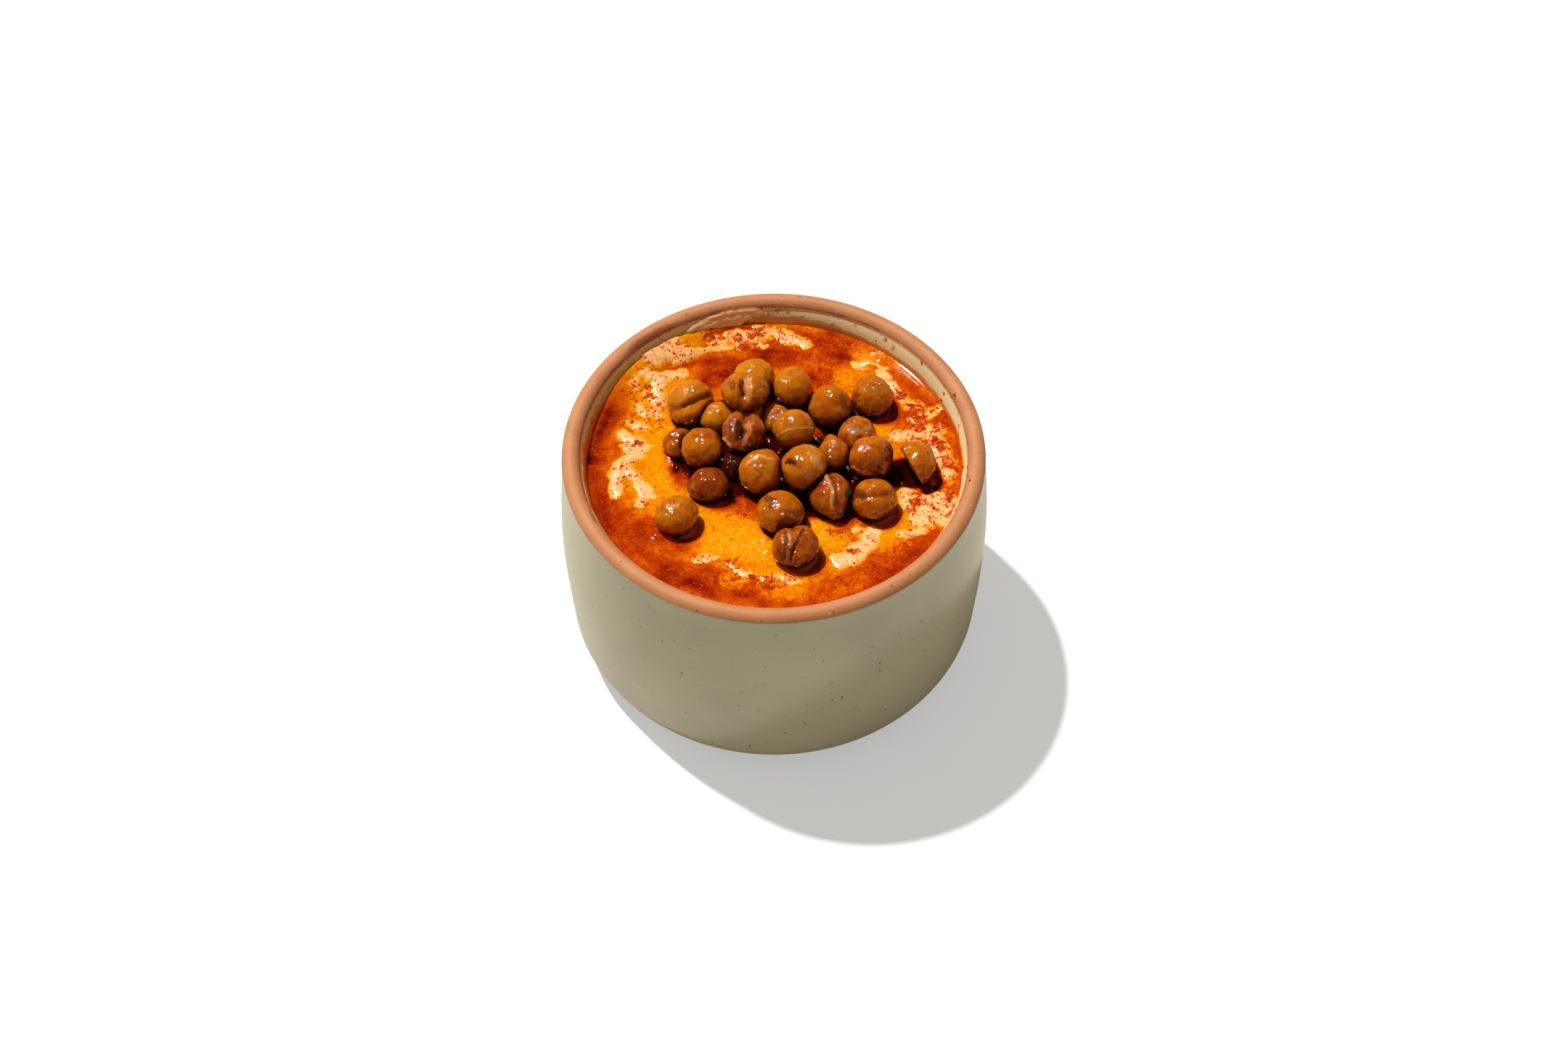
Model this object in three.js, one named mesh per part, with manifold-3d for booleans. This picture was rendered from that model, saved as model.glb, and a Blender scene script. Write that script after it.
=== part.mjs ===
// A small clay bowl of hummus: the bowl, the dip that fills it and the chickpeas heaped on top.
// Millimetres, +Z up. The origin is the middle of the bowl's foot, on the surface it stands on.

import * as THREE from 'three';
import { mergeVertices } from 'three/addons/utils/BufferGeometryUtils.js';
import Module from 'manifold-3d';

const wasm = await Module();
wasm.setup();

// ---------------------------------------------------------------- driving dimensions

const BOWL_HEIGHT = 69.3;
const RIM_RADIUS = 55; // outside of the rim
const RIM_WALL = 4.9; // wall thickness at the rim
const RIM_ROUND = 2.6; // height of the rim's rounded top
const SHOULDER = 2.3; // how far the wall steps in below the rim
const SHOULDER_DROP = 9; // height over which it does
const FOOT_RADIUS = 40; // flat that the bowl stands on
const HEEL_HEIGHT = 11; // height of the rounded heel above the foot
const HEEL_RADIUS = 55.6; // outside, where the heel meets the wall
const BELLY_SWELL = 1.4; // how far the wall bulges between heel and rim
const FLOOR_THICKNESS = 6;
const FLOOR_RADIUS = 33; // flat of the inside floor
const INNER_CORNER = 11; // height of the rounded corner above the inside floor
const BOWL_SEGMENTS = 50;
const HEEL_STEPS = 3; // facets along each stretch of the bowl's profile
const WALL_STEPS = 4;
const RIM_STEPS = 8;
const SHOULDER_STEPS = 3;
const INNER_WALL_STEPS = 2;
const CORNER_STEPS = 3;

const GAP = 0.3; // clearance between neighbouring solids
const DIP_LEVEL = 61.8; // level at which the oil stands on the dip
const DIP_RINGS = 9;
const DIP_SEGMENTS = 40;

const PEA_ROUND = { long: 1.04, wide: 1.0, tall: 0.96 }; // proportions of a plain chickpea
const PLAIN_BEAK = 0.1; // how far the beak stands out, as a share of the radius
const BEAK_SPREAD = 0.07;
const PLAIN_CREASE = 0.05; // depth of the crease, as a share of the radius
const CREASE_SPREAD = 0.22;
const CREASE_FOOT = -0.2; // height at which the crease begins, and where it is full
const CREASE_FULL = 0.5;
const PEA_SEGMENTS = 12;
const PEA_RINGS = 8;
const PEA_NEIGHBOURHOOD = 14; // centres closer than this can touch

const glazedClay = new THREE.MeshStandardMaterial({ color: '#b4ad93', roughness: 0.3, metalness: 0 });
const dipPaste = new THREE.MeshStandardMaterial({ color: '#f0a24a', roughness: 0.35, metalness: 0 });
const peaSkin = new THREE.MeshStandardMaterial({ color: '#a5611c', roughness: 0.35, metalness: 0 });

// Banks that the spoon has pushed up out of the oil. Each follows an arc round the bowl: turn is
// the middle of the arc and sweep its half length in degrees, reach its distance from the middle.
const BANKS = [
  { turn: 101, reach: 45, sweep: 30, width: 4, rise: 1.6 },
  { turn: 132, reach: 43.5, sweep: 14, width: 6, rise: 1.2 },
  { turn: 141, reach: 39.5, sweep: 10, width: 4.5, rise: 1 },
  { turn: 165, reach: 37, sweep: 13, width: 3.5, rise: 1.1 },
  { turn: 187, reach: 39.5, sweep: 12, width: 3.5, rise: 1.2 },
  { turn: -99, reach: 36.5, sweep: 24, width: 2.5, rise: 0.7 },
  { turn: -52, reach: 35.5, sweep: 14, width: 5, rise: 1.1 },
  { turn: -6, reach: 43, sweep: 24, width: 6, rise: 1.3 },
  { turn: 41, reach: 42, sweep: 10, width: 3.5, rise: 0.9 },
];

// The chickpeas, row by row from the back. x and y place each one, lift is the height of its
// middle above the dip's level and size its mean radius. The beak points along turn and tilt, and
// roll leans the crease over. Where one isn't plain, it has its own beak, crease or proportions,
// and cut is a broken face: the direction that it looks in and its distance from the middle.
const CHICKPEAS = [
  { x: -21.9, y: 17.6, lift: 4, size: 6.2, turn: 30, tilt: 0, roll: -45, crease: 0.16, tall: 1.02 },
  { x: -5, y: 27.1, lift: 3.2, size: 5.3, turn: 170, tilt: 10, roll: 0 },
  { x: -7.6, y: 17.8, lift: 8.4, size: 5.3, turn: -90, tilt: 5, roll: 0, crease: 0.2, wide: 1.24 },
  { x: 5, y: 23.1, lift: 4, size: 5.4, turn: -60, tilt: -15, roll: 0, crease: 0.02, tall: 1.04 },
  { x: 14.9, y: 16.6, lift: 3.8, size: 5.7, turn: -20, tilt: 10, roll: -30, beak: 0.05 },
  { x: 25.9, y: 20.1, lift: 3.4, size: 5.5, turn: 95, tilt: 35, roll: 0 },
  { x: -14.9, y: 13.2, lift: 3.4, size: 4.4, turn: 200, tilt: 0, roll: 0, crease: 0.02 },
  { x: -6.5, y: 15.2, lift: 1.2, size: 4.3, turn: 10, tilt: 0, roll: 0, crease: 0.02 },
  { x: -7.9, y: 4.7, lift: 7.2, size: 5.8, turn: -95, tilt: 0, roll: 8, crease: 0.34 },
  { x: 0.8, y: 13.4, lift: 2, size: 4, turn: 120, tilt: 30, roll: 0 },
  { x: 5.3, y: 6.3, lift: 7.2, size: 5.5, turn: 180, tilt: 0, roll: -40, crease: 0.04, long: 1 },
  { x: -24.5, y: 5.2, lift: 2.2, size: 4.2, turn: 190, tilt: 5, roll: 20, crease: 0.08 },
  { x: -18.5, y: 1.8, lift: 4.6, size: 5.6, turn: 160, tilt: -10, roll: -20, crease: 0.03 },
  { x: -3.3, y: -6.4, lift: 5.2, size: 5.7, turn: 60, tilt: 20, roll: -30, crease: 0.07 },
  { x: 7.9, y: -7.3, lift: 8, size: 6, turn: 170, tilt: 10, roll: 10, crease: 0.02, long: 0.98, tall: 1.05 },
  { x: 15.7, y: -0.3, lift: 4.8, size: 4.2, turn: 104, tilt: 30, roll: 0, beak: 0.24 },
  { x: 21.9, y: 6.5, lift: 3.2, size: 5.3, turn: 80, tilt: 20, roll: -20, crease: 0.08 },
  { x: 25.1, y: -2.8, lift: 6.4, size: 5.6, turn: 20, tilt: 0, roll: -60, crease: 0.04, long: 1.1 },
  { x: 36.3, y: -2.9, lift: 3.6, size: 5.9, turn: 60, tilt: 10, roll: 0, cut: [-0.86, -0.4, -0.31, 1] },
  { x: -16.7, y: -8.8, lift: 2.6, size: 4.8, turn: 190, tilt: 0, roll: 0, long: 1.12 },
  { x: -10.4, y: -1.8, lift: 1.8, size: 3.9, turn: 90, tilt: 0, roll: 0 },
  { x: -24.9, y: -19.2, lift: 3.2, size: 5.2, turn: 15, tilt: 0, roll: 0, crease: 0.02, long: 1.08 },
  { x: 1.5, y: -18.7, lift: 3.8, size: 5.9, turn: -10, tilt: 0, roll: 30, crease: 0.05 },
  { x: 14.4, y: -12.6, lift: 3.6, size: 5.6, turn: -74, tilt: -12, roll: 20, beak: 0.3, crease: 0.1 },
  { x: 25.6, y: -14.4, lift: 3.6, size: 5.6, turn: 0, tilt: 5, roll: -30, crease: 0.12 },
  { x: 5.5, y: -29.1, lift: 3.4, size: 5.5, turn: -82, tilt: 0, roll: -5, crease: 0.18, wide: 1.14 },
];

// ---------------------------------------------------------------- small helpers

const radians = THREE.MathUtils.degToRad;

function smooth(value, from, to) {
  return THREE.MathUtils.smoothstep(value, from, to);
}

// Half an ellipse or a quarter of one, as profile points from one angle to another.
function arcPoints(centre, across, up, fromDegrees, toDegrees, steps) {
  const points = [];
  for (let step = 0; step <= steps; step += 1) {
    const angle = radians(fromDegrees + ((toDegrees - fromDegrees) * step) / steps);
    points.push(new THREE.Vector2(centre.x + across * Math.cos(angle), centre.y + up * Math.sin(angle)));
  }
  return points;
}

// Heights from one to another in equal steps, without the two ends.
function heightsBetween(bottom, top, steps) {
  const heights = [];
  for (let step = 1; step < steps; step += 1) {
    heights.push(THREE.MathUtils.lerp(bottom, top, step / steps));
  }
  return heights;
}

function namedMesh(name, geometry, material) {
  const mesh = new THREE.Mesh(geometry, material);
  mesh.name = name;
  return mesh;
}

// Lathe round Z instead of Y.
function turned(profile, segments) {
  const geometry = new THREE.LatheGeometry(profile, segments);
  geometry.rotateX(Math.PI / 2);
  return geometry;
}

function toSolid(geometry) {
  const bare = geometry.clone();
  bare.deleteAttribute('normal');
  bare.deleteAttribute('uv');
  const merged = mergeVertices(bare, 0.001);
  const vertProperties = new Float32Array(merged.attributes.position.array);
  const triVerts = new Uint32Array(merged.index.array);
  return new wasm.Manifold(new wasm.Mesh({ numProp: 3, vertProperties, triVerts }));
}

function fromSolid(solid) {
  const mesh = solid.getMesh();
  const geometry = new THREE.BufferGeometry();
  geometry.setAttribute('position', new THREE.BufferAttribute(mesh.vertProperties, 3));
  geometry.setIndex(new THREE.BufferAttribute(mesh.triVerts, 1));
  geometry.computeVertexNormals();
  return geometry;
}

// ---------------------------------------------------------------- bowl

const WALL_TOP = BOWL_HEIGHT - RIM_ROUND;
const SHOULDER_FOOT = WALL_TOP - SHOULDER_DROP;
const INNER_WALL_FOOT = FLOOR_THICKNESS + INNER_CORNER;

// Outside radius of the wall between the heel and the rounded rim.
function wallRadius(height) {
  const share = (height - HEEL_HEIGHT) / (WALL_TOP - HEEL_HEIGHT);
  const straight = THREE.MathUtils.lerp(HEEL_RADIUS, RIM_RADIUS, share);
  return straight + BELLY_SWELL * Math.sin(Math.PI * share);
}

// Inside radius of the wall. Below the rim it steps in by the shoulder, steeply at first.
function innerRadius(height) {
  const left = THREE.MathUtils.clamp((height - SHOULDER_FOOT) / SHOULDER_DROP, 0, 1);
  return wallRadius(height) - RIM_WALL - SHOULDER * (1 - left ** 2);
}

// The inside of the bowl up to a height, drawn in by a clearance for what lies in it.
function insidePoints(clearance, top) {
  const reach = innerRadius(INNER_WALL_FOOT) - clearance - FLOOR_RADIUS;
  const corner = arcPoints(
    { x: FLOOR_RADIUS, y: INNER_WALL_FOOT }, reach, INNER_CORNER - clearance, -90, 0, CORNER_STEPS,
  );
  const heights = [
    ...heightsBetween(INNER_WALL_FOOT, SHOULDER_FOOT, INNER_WALL_STEPS),
    SHOULDER_FOOT,
    ...heightsBetween(SHOULDER_FOOT, WALL_TOP, SHOULDER_STEPS),
  ].filter((height) => height < top);
  const wall = heights.map((height) => new THREE.Vector2(innerRadius(height) - clearance, height));
  return [new THREE.Vector2(0, FLOOR_THICKNESS + clearance), ...corner, ...wall];
}

function makeBowl() {
  const heelMiddle = { x: FOOT_RADIUS, y: HEEL_HEIGHT };
  const heel = arcPoints(heelMiddle, HEEL_RADIUS - FOOT_RADIUS, HEEL_HEIGHT, -90, 0, HEEL_STEPS);
  const outside = heightsBetween(HEEL_HEIGHT, WALL_TOP, WALL_STEPS);
  const rimMiddle = { x: RIM_RADIUS - RIM_WALL / 2, y: WALL_TOP };
  const profile = [
    new THREE.Vector2(0, 0),
    ...heel,
    ...outside.map((height) => new THREE.Vector2(wallRadius(height), height)),
    ...arcPoints(rimMiddle, RIM_WALL / 2, RIM_ROUND, 0, 180, RIM_STEPS),
    ...insidePoints(0, WALL_TOP).reverse(),
  ];
  return turned(profile, BOWL_SEGMENTS);
}

// ---------------------------------------------------------------- chickpeas

// Distance from a chickpea's middle to its skin along one direction in its own frame, where +X
// runs to the beak and the crease lies along the top.
function peaReach(direction, pea) {
  const { long, wide, tall } = { ...PEA_ROUND, ...pea };
  const body = 1 / Math.hypot(direction.x / long, direction.y / wide, direction.z / tall);
  const beak = (pea.beak ?? PLAIN_BEAK) * Math.exp((direction.x - 1) / BEAK_SPREAD);
  const across = Math.exp(-((direction.y / CREASE_SPREAD) ** 2));
  const crease = (pea.crease ?? PLAIN_CREASE) * across * smooth(direction.z, CREASE_FOOT, CREASE_FULL);
  return pea.size * (body + beak - crease);
}

function peaTurn(pea) {
  const turn = new THREE.Quaternion().setFromAxisAngle(new THREE.Vector3(0, 0, 1), radians(pea.turn));
  const tilt = new THREE.Quaternion().setFromAxisAngle(new THREE.Vector3(0, 1, 0), -radians(pea.tilt));
  const roll = new THREE.Quaternion().setFromAxisAngle(new THREE.Vector3(1, 0, 0), -radians(pea.roll));
  return turn.multiply(tilt).multiply(roll);
}

const placedPeas = CHICKPEAS.map((pea) => ({
  ...pea,
  centre: new THREE.Vector3(pea.x, pea.y, DIP_LEVEL + pea.lift),
  rotation: peaTurn(pea),
}));

function reachTowards(pea, direction) {
  const own = direction.clone().applyQuaternion(pea.rotation.clone().invert());
  return peaReach(own, pea);
}

// Soft chickpeas flatten where they lean on each other: each pair shares a flat, set by how far
// both reach along the line between their middles, with the gap left open at it.
function contactFlats(pea) {
  const flats = [];
  for (const other of placedPeas) {
    const between = other.centre.clone().sub(pea.centre);
    const distance = between.length();
    if (other !== pea && distance < PEA_NEIGHBOURHOOD) {
      const normal = between.normalize();
      const mine = reachTowards(pea, normal);
      const theirs = reachTowards(other, normal.clone().negate());
      flats.push({ normal, offset: (distance + mine - theirs - GAP) / 2 });
    }
  }
  if (pea.cut) {
    const [x, y, z, offset] = pea.cut;
    flats.push({ normal: new THREE.Vector3(x, y, z).normalize(), offset });
  }
  return flats;
}

function makeChickpea(pea, grow) {
  const geometry = new THREE.SphereGeometry(1, PEA_SEGMENTS, PEA_RINGS);
  geometry.rotateZ(-Math.PI / 2);
  const flats = contactFlats(pea);
  const position = geometry.attributes.position;
  const point = new THREE.Vector3();
  for (let index = 0; index < position.count; index += 1) {
    point.fromBufferAttribute(position, index).normalize();
    let reach = peaReach(point, pea) + grow;
    point.applyQuaternion(pea.rotation);
    for (const flat of flats) {
      const facing = point.dot(flat.normal);
      if (facing > 0) {
        reach = Math.min(reach, (flat.offset + grow) / facing);
      }
    }
    point.multiplyScalar(reach);
    position.setXYZ(index, point.x, point.y, point.z);
  }
  geometry.computeVertexNormals();
  return geometry;
}

// ---------------------------------------------------------------- dip

// Height of the dip: the oil's level, and the banks that stand out of it.
function dipLevel(x, y) {
  const radius = Math.hypot(x, y);
  const turn = THREE.MathUtils.radToDeg(Math.atan2(y, x));
  let level = DIP_LEVEL;
  for (const bank of BANKS) {
    const around = (THREE.MathUtils.euclideanModulo(turn - bank.turn + 180, 360) - 180) / bank.sweep;
    const across = (radius - bank.reach) / bank.width;
    level += bank.rise * Math.exp(-(across ** 2) - around ** 4);
  }
  return level;
}

function makeDip() {
  const edge = innerRadius(DIP_LEVEL) - GAP;
  const below = insidePoints(GAP, DIP_LEVEL);
  const surface = [];
  for (let ring = DIP_RINGS; ring >= 0; ring -= 1) {
    surface.push(new THREE.Vector2((edge * ring) / DIP_RINGS, DIP_LEVEL));
  }
  const geometry = turned([...below, ...surface], DIP_SEGMENTS);
  const position = geometry.attributes.position;
  const ringPoints = below.length + surface.length;
  for (let index = 0; index < position.count; index += 1) {
    if (index % ringPoints >= below.length) {
      position.setZ(index, dipLevel(position.getX(index), position.getY(index)));
    }
  }
  let dip = toSolid(geometry);
  for (const pea of placedPeas) {
    const dent = makeChickpea(pea, GAP);
    dent.translate(pea.centre.x, pea.centre.y, pea.centre.z);
    dip = dip.subtract(toSolid(dent));
  }
  return fromSolid(dip);
}

// ---------------------------------------------------------------- assembly

const hummusBowl = new THREE.Group();
hummusBowl.add(namedMesh('bowl', makeBowl(), glazedClay));
hummusBowl.add(namedMesh('hummus', makeDip(), dipPaste));
placedPeas.forEach((pea, index) => {
  const name = `chickpea_${String(index + 1).padStart(2, '0')}`;
  const mesh = namedMesh(name, makeChickpea(pea, 0), peaSkin);
  mesh.position.copy(pea.centre);
  hummusBowl.add(mesh);
});

export default hummusBowl;
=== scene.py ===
"""A small clay bowl of hummus under spiced oil, with cooked chickpeas heaped in the middle.

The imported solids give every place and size. All shapes here are worked out in millimetres, in the same
frame: the origin is the middle of the bowl's foot, +Z is up and -Y is the front. make_piece turns them
into metres.
"""

import bpy
import numpy as np
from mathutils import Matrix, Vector


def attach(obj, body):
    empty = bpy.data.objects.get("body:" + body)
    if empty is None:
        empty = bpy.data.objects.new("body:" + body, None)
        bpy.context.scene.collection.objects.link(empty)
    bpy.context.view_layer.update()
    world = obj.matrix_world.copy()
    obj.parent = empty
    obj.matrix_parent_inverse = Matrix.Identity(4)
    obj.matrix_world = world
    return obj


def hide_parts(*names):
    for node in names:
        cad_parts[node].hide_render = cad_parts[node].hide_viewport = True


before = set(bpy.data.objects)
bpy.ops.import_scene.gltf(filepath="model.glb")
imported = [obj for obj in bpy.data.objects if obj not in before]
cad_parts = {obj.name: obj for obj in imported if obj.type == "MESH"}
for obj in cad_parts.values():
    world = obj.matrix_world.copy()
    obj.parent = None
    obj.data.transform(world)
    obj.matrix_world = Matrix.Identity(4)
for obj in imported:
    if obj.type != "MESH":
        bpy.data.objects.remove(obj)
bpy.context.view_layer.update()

MM = 0.001
PER_METRE = 1000.0

# ---------------------------------------------------------------- sizes, as on the solids

BOWL_HEIGHT = 69.3
RIM_RADIUS = 55.0
RIM_WALL = 4.9
RIM_ROUND = 2.6
SHOULDER = 2.3
SHOULDER_DROP = 9.0
FOOT_RADIUS = 40.0
HEEL_HEIGHT = 11.0
HEEL_RADIUS = 55.6
BELLY_SWELL = 1.4
FLOOR_THICKNESS = 6.0
FLOOR_RADIUS = 33.0
INNER_CORNER = 11.0
WALL_TOP = BOWL_HEIGHT - RIM_ROUND
SHOULDER_FOOT = WALL_TOP - SHOULDER_DROP
INNER_WALL_FOOT = FLOOR_THICKNESS + INNER_CORNER
CLAY_TRUE = 0.998  # the turned wall stays just inside the faceted one

DIP_LEVEL = 61.8
INTO_WALL = 0.3  # how far the dip reaches into the wall

# ---------------------------------------------------------------- noise and small formulas


LATTICE = 24  # cells along each axis before the noise repeats
NOISE_GAIN = 1.6  # brings its sums to about -1 to 1
LAYER_SHIFT = 7.3  # moves each finer layer aside, so that their cells don't line up


def lattice_noise(points, seed):
    """Gradient noise, about -1 to 1: random slopes on a unit lattice, blended by a quintic in each cell."""
    slopes = np.random.default_rng(seed).normal(size=(LATTICE, LATTICE, LATTICE, 3))
    slopes /= np.linalg.norm(slopes, axis=-1, keepdims=True)
    cell = np.floor(points).astype(int)
    part = points - cell
    blend = part**3 * (part * (6 * part - 15) + 10)
    total = np.zeros(points.shape[:-1])
    for corner in np.ndindex(2, 2, 2):
        weight = np.prod(np.where(np.array(corner) == 1, blend, 1 - blend), axis=-1)
        at = (cell + corner) % LATTICE
        slope = slopes[at[..., 0], at[..., 1], at[..., 2]]
        total += weight * np.sum(slope * (part - corner), axis=-1)
    return NOISE_GAIN * total


def layered_noise(points, grain, layers, seed):
    """Noise in layers: lumps of one grain first, then each layer half as large and half as strong."""
    total = np.zeros(points.shape[:-1])
    for layer in range(layers):
        total += lattice_noise(points * 2**layer / grain + LAYER_SHIFT * layer, seed + layer) / 2**layer
    return total


def smoothstep(value, start, end):
    """0 before start, 1 after end, and 3t^2 - 2t^3 between them."""
    share = np.clip((value - start) / (end - start), 0, 1)
    return share * share * (3 - 2 * share)


def bell(distance, width):
    """exp(-(distance / width)^2)."""
    return np.exp(-((distance / width) ** 2))


def distance_along(x, y, path):
    """Distance in the plane from each point to a path of straight stretches."""
    nearest = np.full(np.shape(x), np.inf)
    for (ax, ay), (bx, by) in zip(path[:-1], path[1:]):
        dx, dy = bx - ax, by - ay
        share = np.clip(((x - ax) * dx + (y - ay) * dy) / (dx * dx + dy * dy), 0, 1)
        nearest = np.minimum(nearest, np.hypot(x - ax - share * dx, y - ay - share * dy))
    return nearest


def plan(x, y):
    """Points of a flat plan, for the noise."""
    return np.stack([x, y, np.zeros_like(x)], axis=-1)


def round_points(radius, angle, height):
    """Points by radius, angle in radians and height."""
    return np.stack([radius * np.cos(angle), radius * np.sin(angle), height + 0 * angle], axis=-1)


def along_and_aside(x, y, middle, turn):
    """Distances in the plan from a middle, along a direction given in degrees and square to it."""
    cosine, sine = np.cos(np.radians(turn)), np.sin(np.radians(turn))
    dx, dy = x - middle[0], y - middle[1]
    return dx * cosine + dy * sine, dy * cosine - dx * sine


def turn_from(turn, middle):
    """Degrees from one turn round the bowl to another, between -180 and 180."""
    return (turn - middle + 180) % 360 - 180


def spread_on_disc(random, radius, count):
    """Random places spread evenly over a disc in the plan."""
    reach, turn = radius * np.sqrt(random.random(count)), 2 * np.pi * random.random(count)
    return reach * np.cos(turn), reach * np.sin(turn)


def wall_radius(height):
    """Outside of the wall: a straight taper and half a sine wave that swells it between heel and rim."""
    share = (height - HEEL_HEIGHT) / (WALL_TOP - HEEL_HEIGHT)
    return HEEL_RADIUS + (RIM_RADIUS - HEEL_RADIUS) * share + BELLY_SWELL * np.sin(np.pi * share)


def inner_radius(height):
    """Inside of the wall: its outside less its thickness, and a shoulder that steps in below the rim."""
    left = np.clip((height - SHOULDER_FOOT) / SHOULDER_DROP, 0, 1)
    return wall_radius(height) - RIM_WALL - SHOULDER * (1 - left**3)


# ---------------------------------------------------------------- meshes


def make_piece(name, points, quads, triangles, material, marks=None):
    """Puts points (millimetres) and faces into a mesh, with marks as named numbers at its points."""
    mesh = bpy.data.meshes.new(name)
    mesh.vertices.add(len(points))
    mesh.vertices.foreach_set("co", (np.asarray(points) * MM).astype(np.float32).ravel())
    corners = np.concatenate([np.ravel(quads), np.ravel(triangles)]).astype(np.int32)
    quad_starts = 4 * np.arange(len(quads))
    starts = np.concatenate([quad_starts, 4 * len(quads) + 3 * np.arange(len(triangles))]).astype(np.int32)
    mesh.loops.add(len(corners))
    mesh.loops.foreach_set("vertex_index", corners)
    mesh.polygons.add(len(starts))
    mesh.polygons.foreach_set("loop_start", starts)
    mesh.polygons.foreach_set("use_smooth", np.ones(len(starts), bool))
    mesh.update(calc_edges=True)
    for mark, values in (marks or {}).items():
        layer = mesh.attributes.new(mark, "FLOAT", "POINT")
        layer.data.foreach_set("value", np.ravel(values).astype(np.float32))
    mesh.materials.append(material)
    piece = bpy.data.objects.new(name, mesh)
    bpy.context.scene.collection.objects.link(piece)
    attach(piece, "root")
    return piece


def ring_faces(rings, around):
    """Faces of a closed round body whose points are a pole, the rings after it, and the other pole."""
    ring, turn = np.meshgrid(np.arange(rings - 1), np.arange(around), indexing="ij")
    following = (turn + 1) % around
    here, above = 1 + ring * around, 1 + (ring + 1) * around
    quads = np.stack([here + turn, here + following, above + following, above + turn], axis=-1)
    turn = np.arange(around)
    following = (turn + 1) % around
    first = np.stack([0 * turn, 1 + following, 1 + turn], axis=-1)
    top = 1 + (rings - 1) * around
    last = np.stack([top + turn, top + following, 0 * turn + top + around], axis=-1)
    return quads.reshape(-1, 4), np.concatenate([first, last])


# ---------------------------------------------------------------- materials


def add_node(tree, kind, inputs, **settings):
    """A shader node with its settings, and each input linked to a socket or set to a value."""
    node = tree.nodes.new("ShaderNode" + kind)
    for name, value in settings.items():
        setattr(node, name, value)
    for key, value in inputs.items():
        if isinstance(value, bpy.types.NodeSocket):
            tree.links.new(value, node.inputs[key])
        else:
            node.inputs[key].default_value = value
    return node


def calculate(tree, operation, first, second=0.0, clamp=False):
    """One step of arithmetic."""
    node = add_node(tree, "Math", {0: first, 1: second}, operation=operation, use_clamp=clamp)
    return node.outputs[0]


def multiply(tree, first, second, clamp=False):
    """first times second."""
    return calculate(tree, "MULTIPLY", first, second, clamp)


def add(tree, first, second, clamp=False):
    """first plus second."""
    return calculate(tree, "ADD", first, second, clamp)


def subtract(tree, first, second):
    """first less second."""
    return calculate(tree, "SUBTRACT", first, second)


def rescale(tree, value, start, end, low=0.0, high=1.0):
    """Eases a value from start..end to low..high."""
    inputs = {"Value": value, "From Min": start, "From Max": end, "To Min": low, "To Max": high}
    return add_node(tree, "MapRange", inputs, interpolation_type="SMOOTHSTEP").outputs[0]


def blend_colours(tree, share, first, second, how="MIX"):
    """The first colour, and by its share the second, mixed in or laid over it in another way."""
    inputs = {0: share, 6: first, 7: second}
    return add_node(tree, "Mix", inputs, data_type="RGBA", blend_type=how).outputs[2]


def object_point(tree):
    """The place on the piece, in metres."""
    return add_node(tree, "TexCoord", {}).outputs["Object"]


def noise_node(tree, grain, detail=2.0, roughness=0.5, distortion=0.0):
    """Noise from 0 to 1 with lumps of about one grain, in millimetres."""
    inputs = {
        "Vector": object_point(tree), "Scale": PER_METRE / grain, "Detail": detail,
        "Roughness": roughness, "Distortion": distortion,
    }
    return add_node(tree, "TexNoise", inputs).outputs["Fac"]


def swinging_noise(tree, grain, detail=2.0, roughness=0.5, distortion=0.0):
    """The same noise, about 0 instead of 0.5."""
    return subtract(tree, noise_node(tree, grain, detail, roughness, distortion), 0.5)


def colour_run(tree, value, stops):
    """A run of colours, each (place, linear colour), between which it blends evenly."""
    node = add_node(tree, "ValToRGB", {"Fac": value})
    marks = node.color_ramp.elements
    while len(marks) < len(stops):
        marks.new(0.5)
    for mark, (place, colour) in zip(marks, stops):
        mark.position = place
        mark.color = (*colour, 1)
    return node.outputs["Color"]


def read_mark(tree, name):
    """The number that make_piece has put at the piece's points under this name."""
    return add_node(tree, "Attribute", {}, attribute_name=name, attribute_type="GEOMETRY").outputs["Fac"]


def new_group(name, numbers, outputs):
    """A node group with number inputs and the outputs it's given, and its two end nodes."""
    group = bpy.data.node_groups.new(name, "ShaderNodeTree")
    for label, value in numbers.items():
        socket = group.interface.new_socket(label, in_out="INPUT", socket_type="NodeSocketFloat")
        socket.default_value = value
    for label in outputs:
        group.interface.new_socket(label, in_out="OUTPUT", socket_type="NodeSocketFloat")
    return group, group.nodes.new("NodeGroupInput").outputs, group.nodes.new("NodeGroupOutput").inputs


SPECK_SWAY, SWAY_SCALE = (0.0003, 0.0003, 0.0003), 900.0  # how far their outlines are bent, and how finely
SPECK_EDGE = 18.0  # the larger, the sharper their edges


def speck_nodes(tree, cell, share, core):
    """Sparse round specks: the cores of random cells, kept where the cell's own number is below the share.

    cell is in millimetres and core in cells. The number also scales the core, so that sizes differ."""
    scale = calculate(tree, "DIVIDE", PER_METRE, cell)
    point = object_point(tree)
    sway = add_node(tree, "TexNoise", {"Vector": point, "Scale": SWAY_SCALE, "Detail": 2.0})
    bent = add_node(tree, "VectorMath", {0: sway.outputs["Color"], 1: SPECK_SWAY}, operation="MULTIPLY")
    place = add_node(tree, "VectorMath", {0: point, 1: bent.outputs[0]}, operation="ADD")
    cells = add_node(tree, "TexVoronoi", {"Vector": place.outputs[0], "Scale": scale})
    number = add_node(tree, "SeparateColor", {"Color": cells.outputs["Color"]}).outputs[0]
    kept = calculate(tree, "LESS_THAN", number, share)
    size = multiply(tree, core, calculate(tree, "DIVIDE", number, share))
    inwards = subtract(tree, size, cells.outputs["Distance"])
    return multiply(tree, kept, multiply(tree, inwards, SPECK_EDGE, clamp=True))


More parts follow.
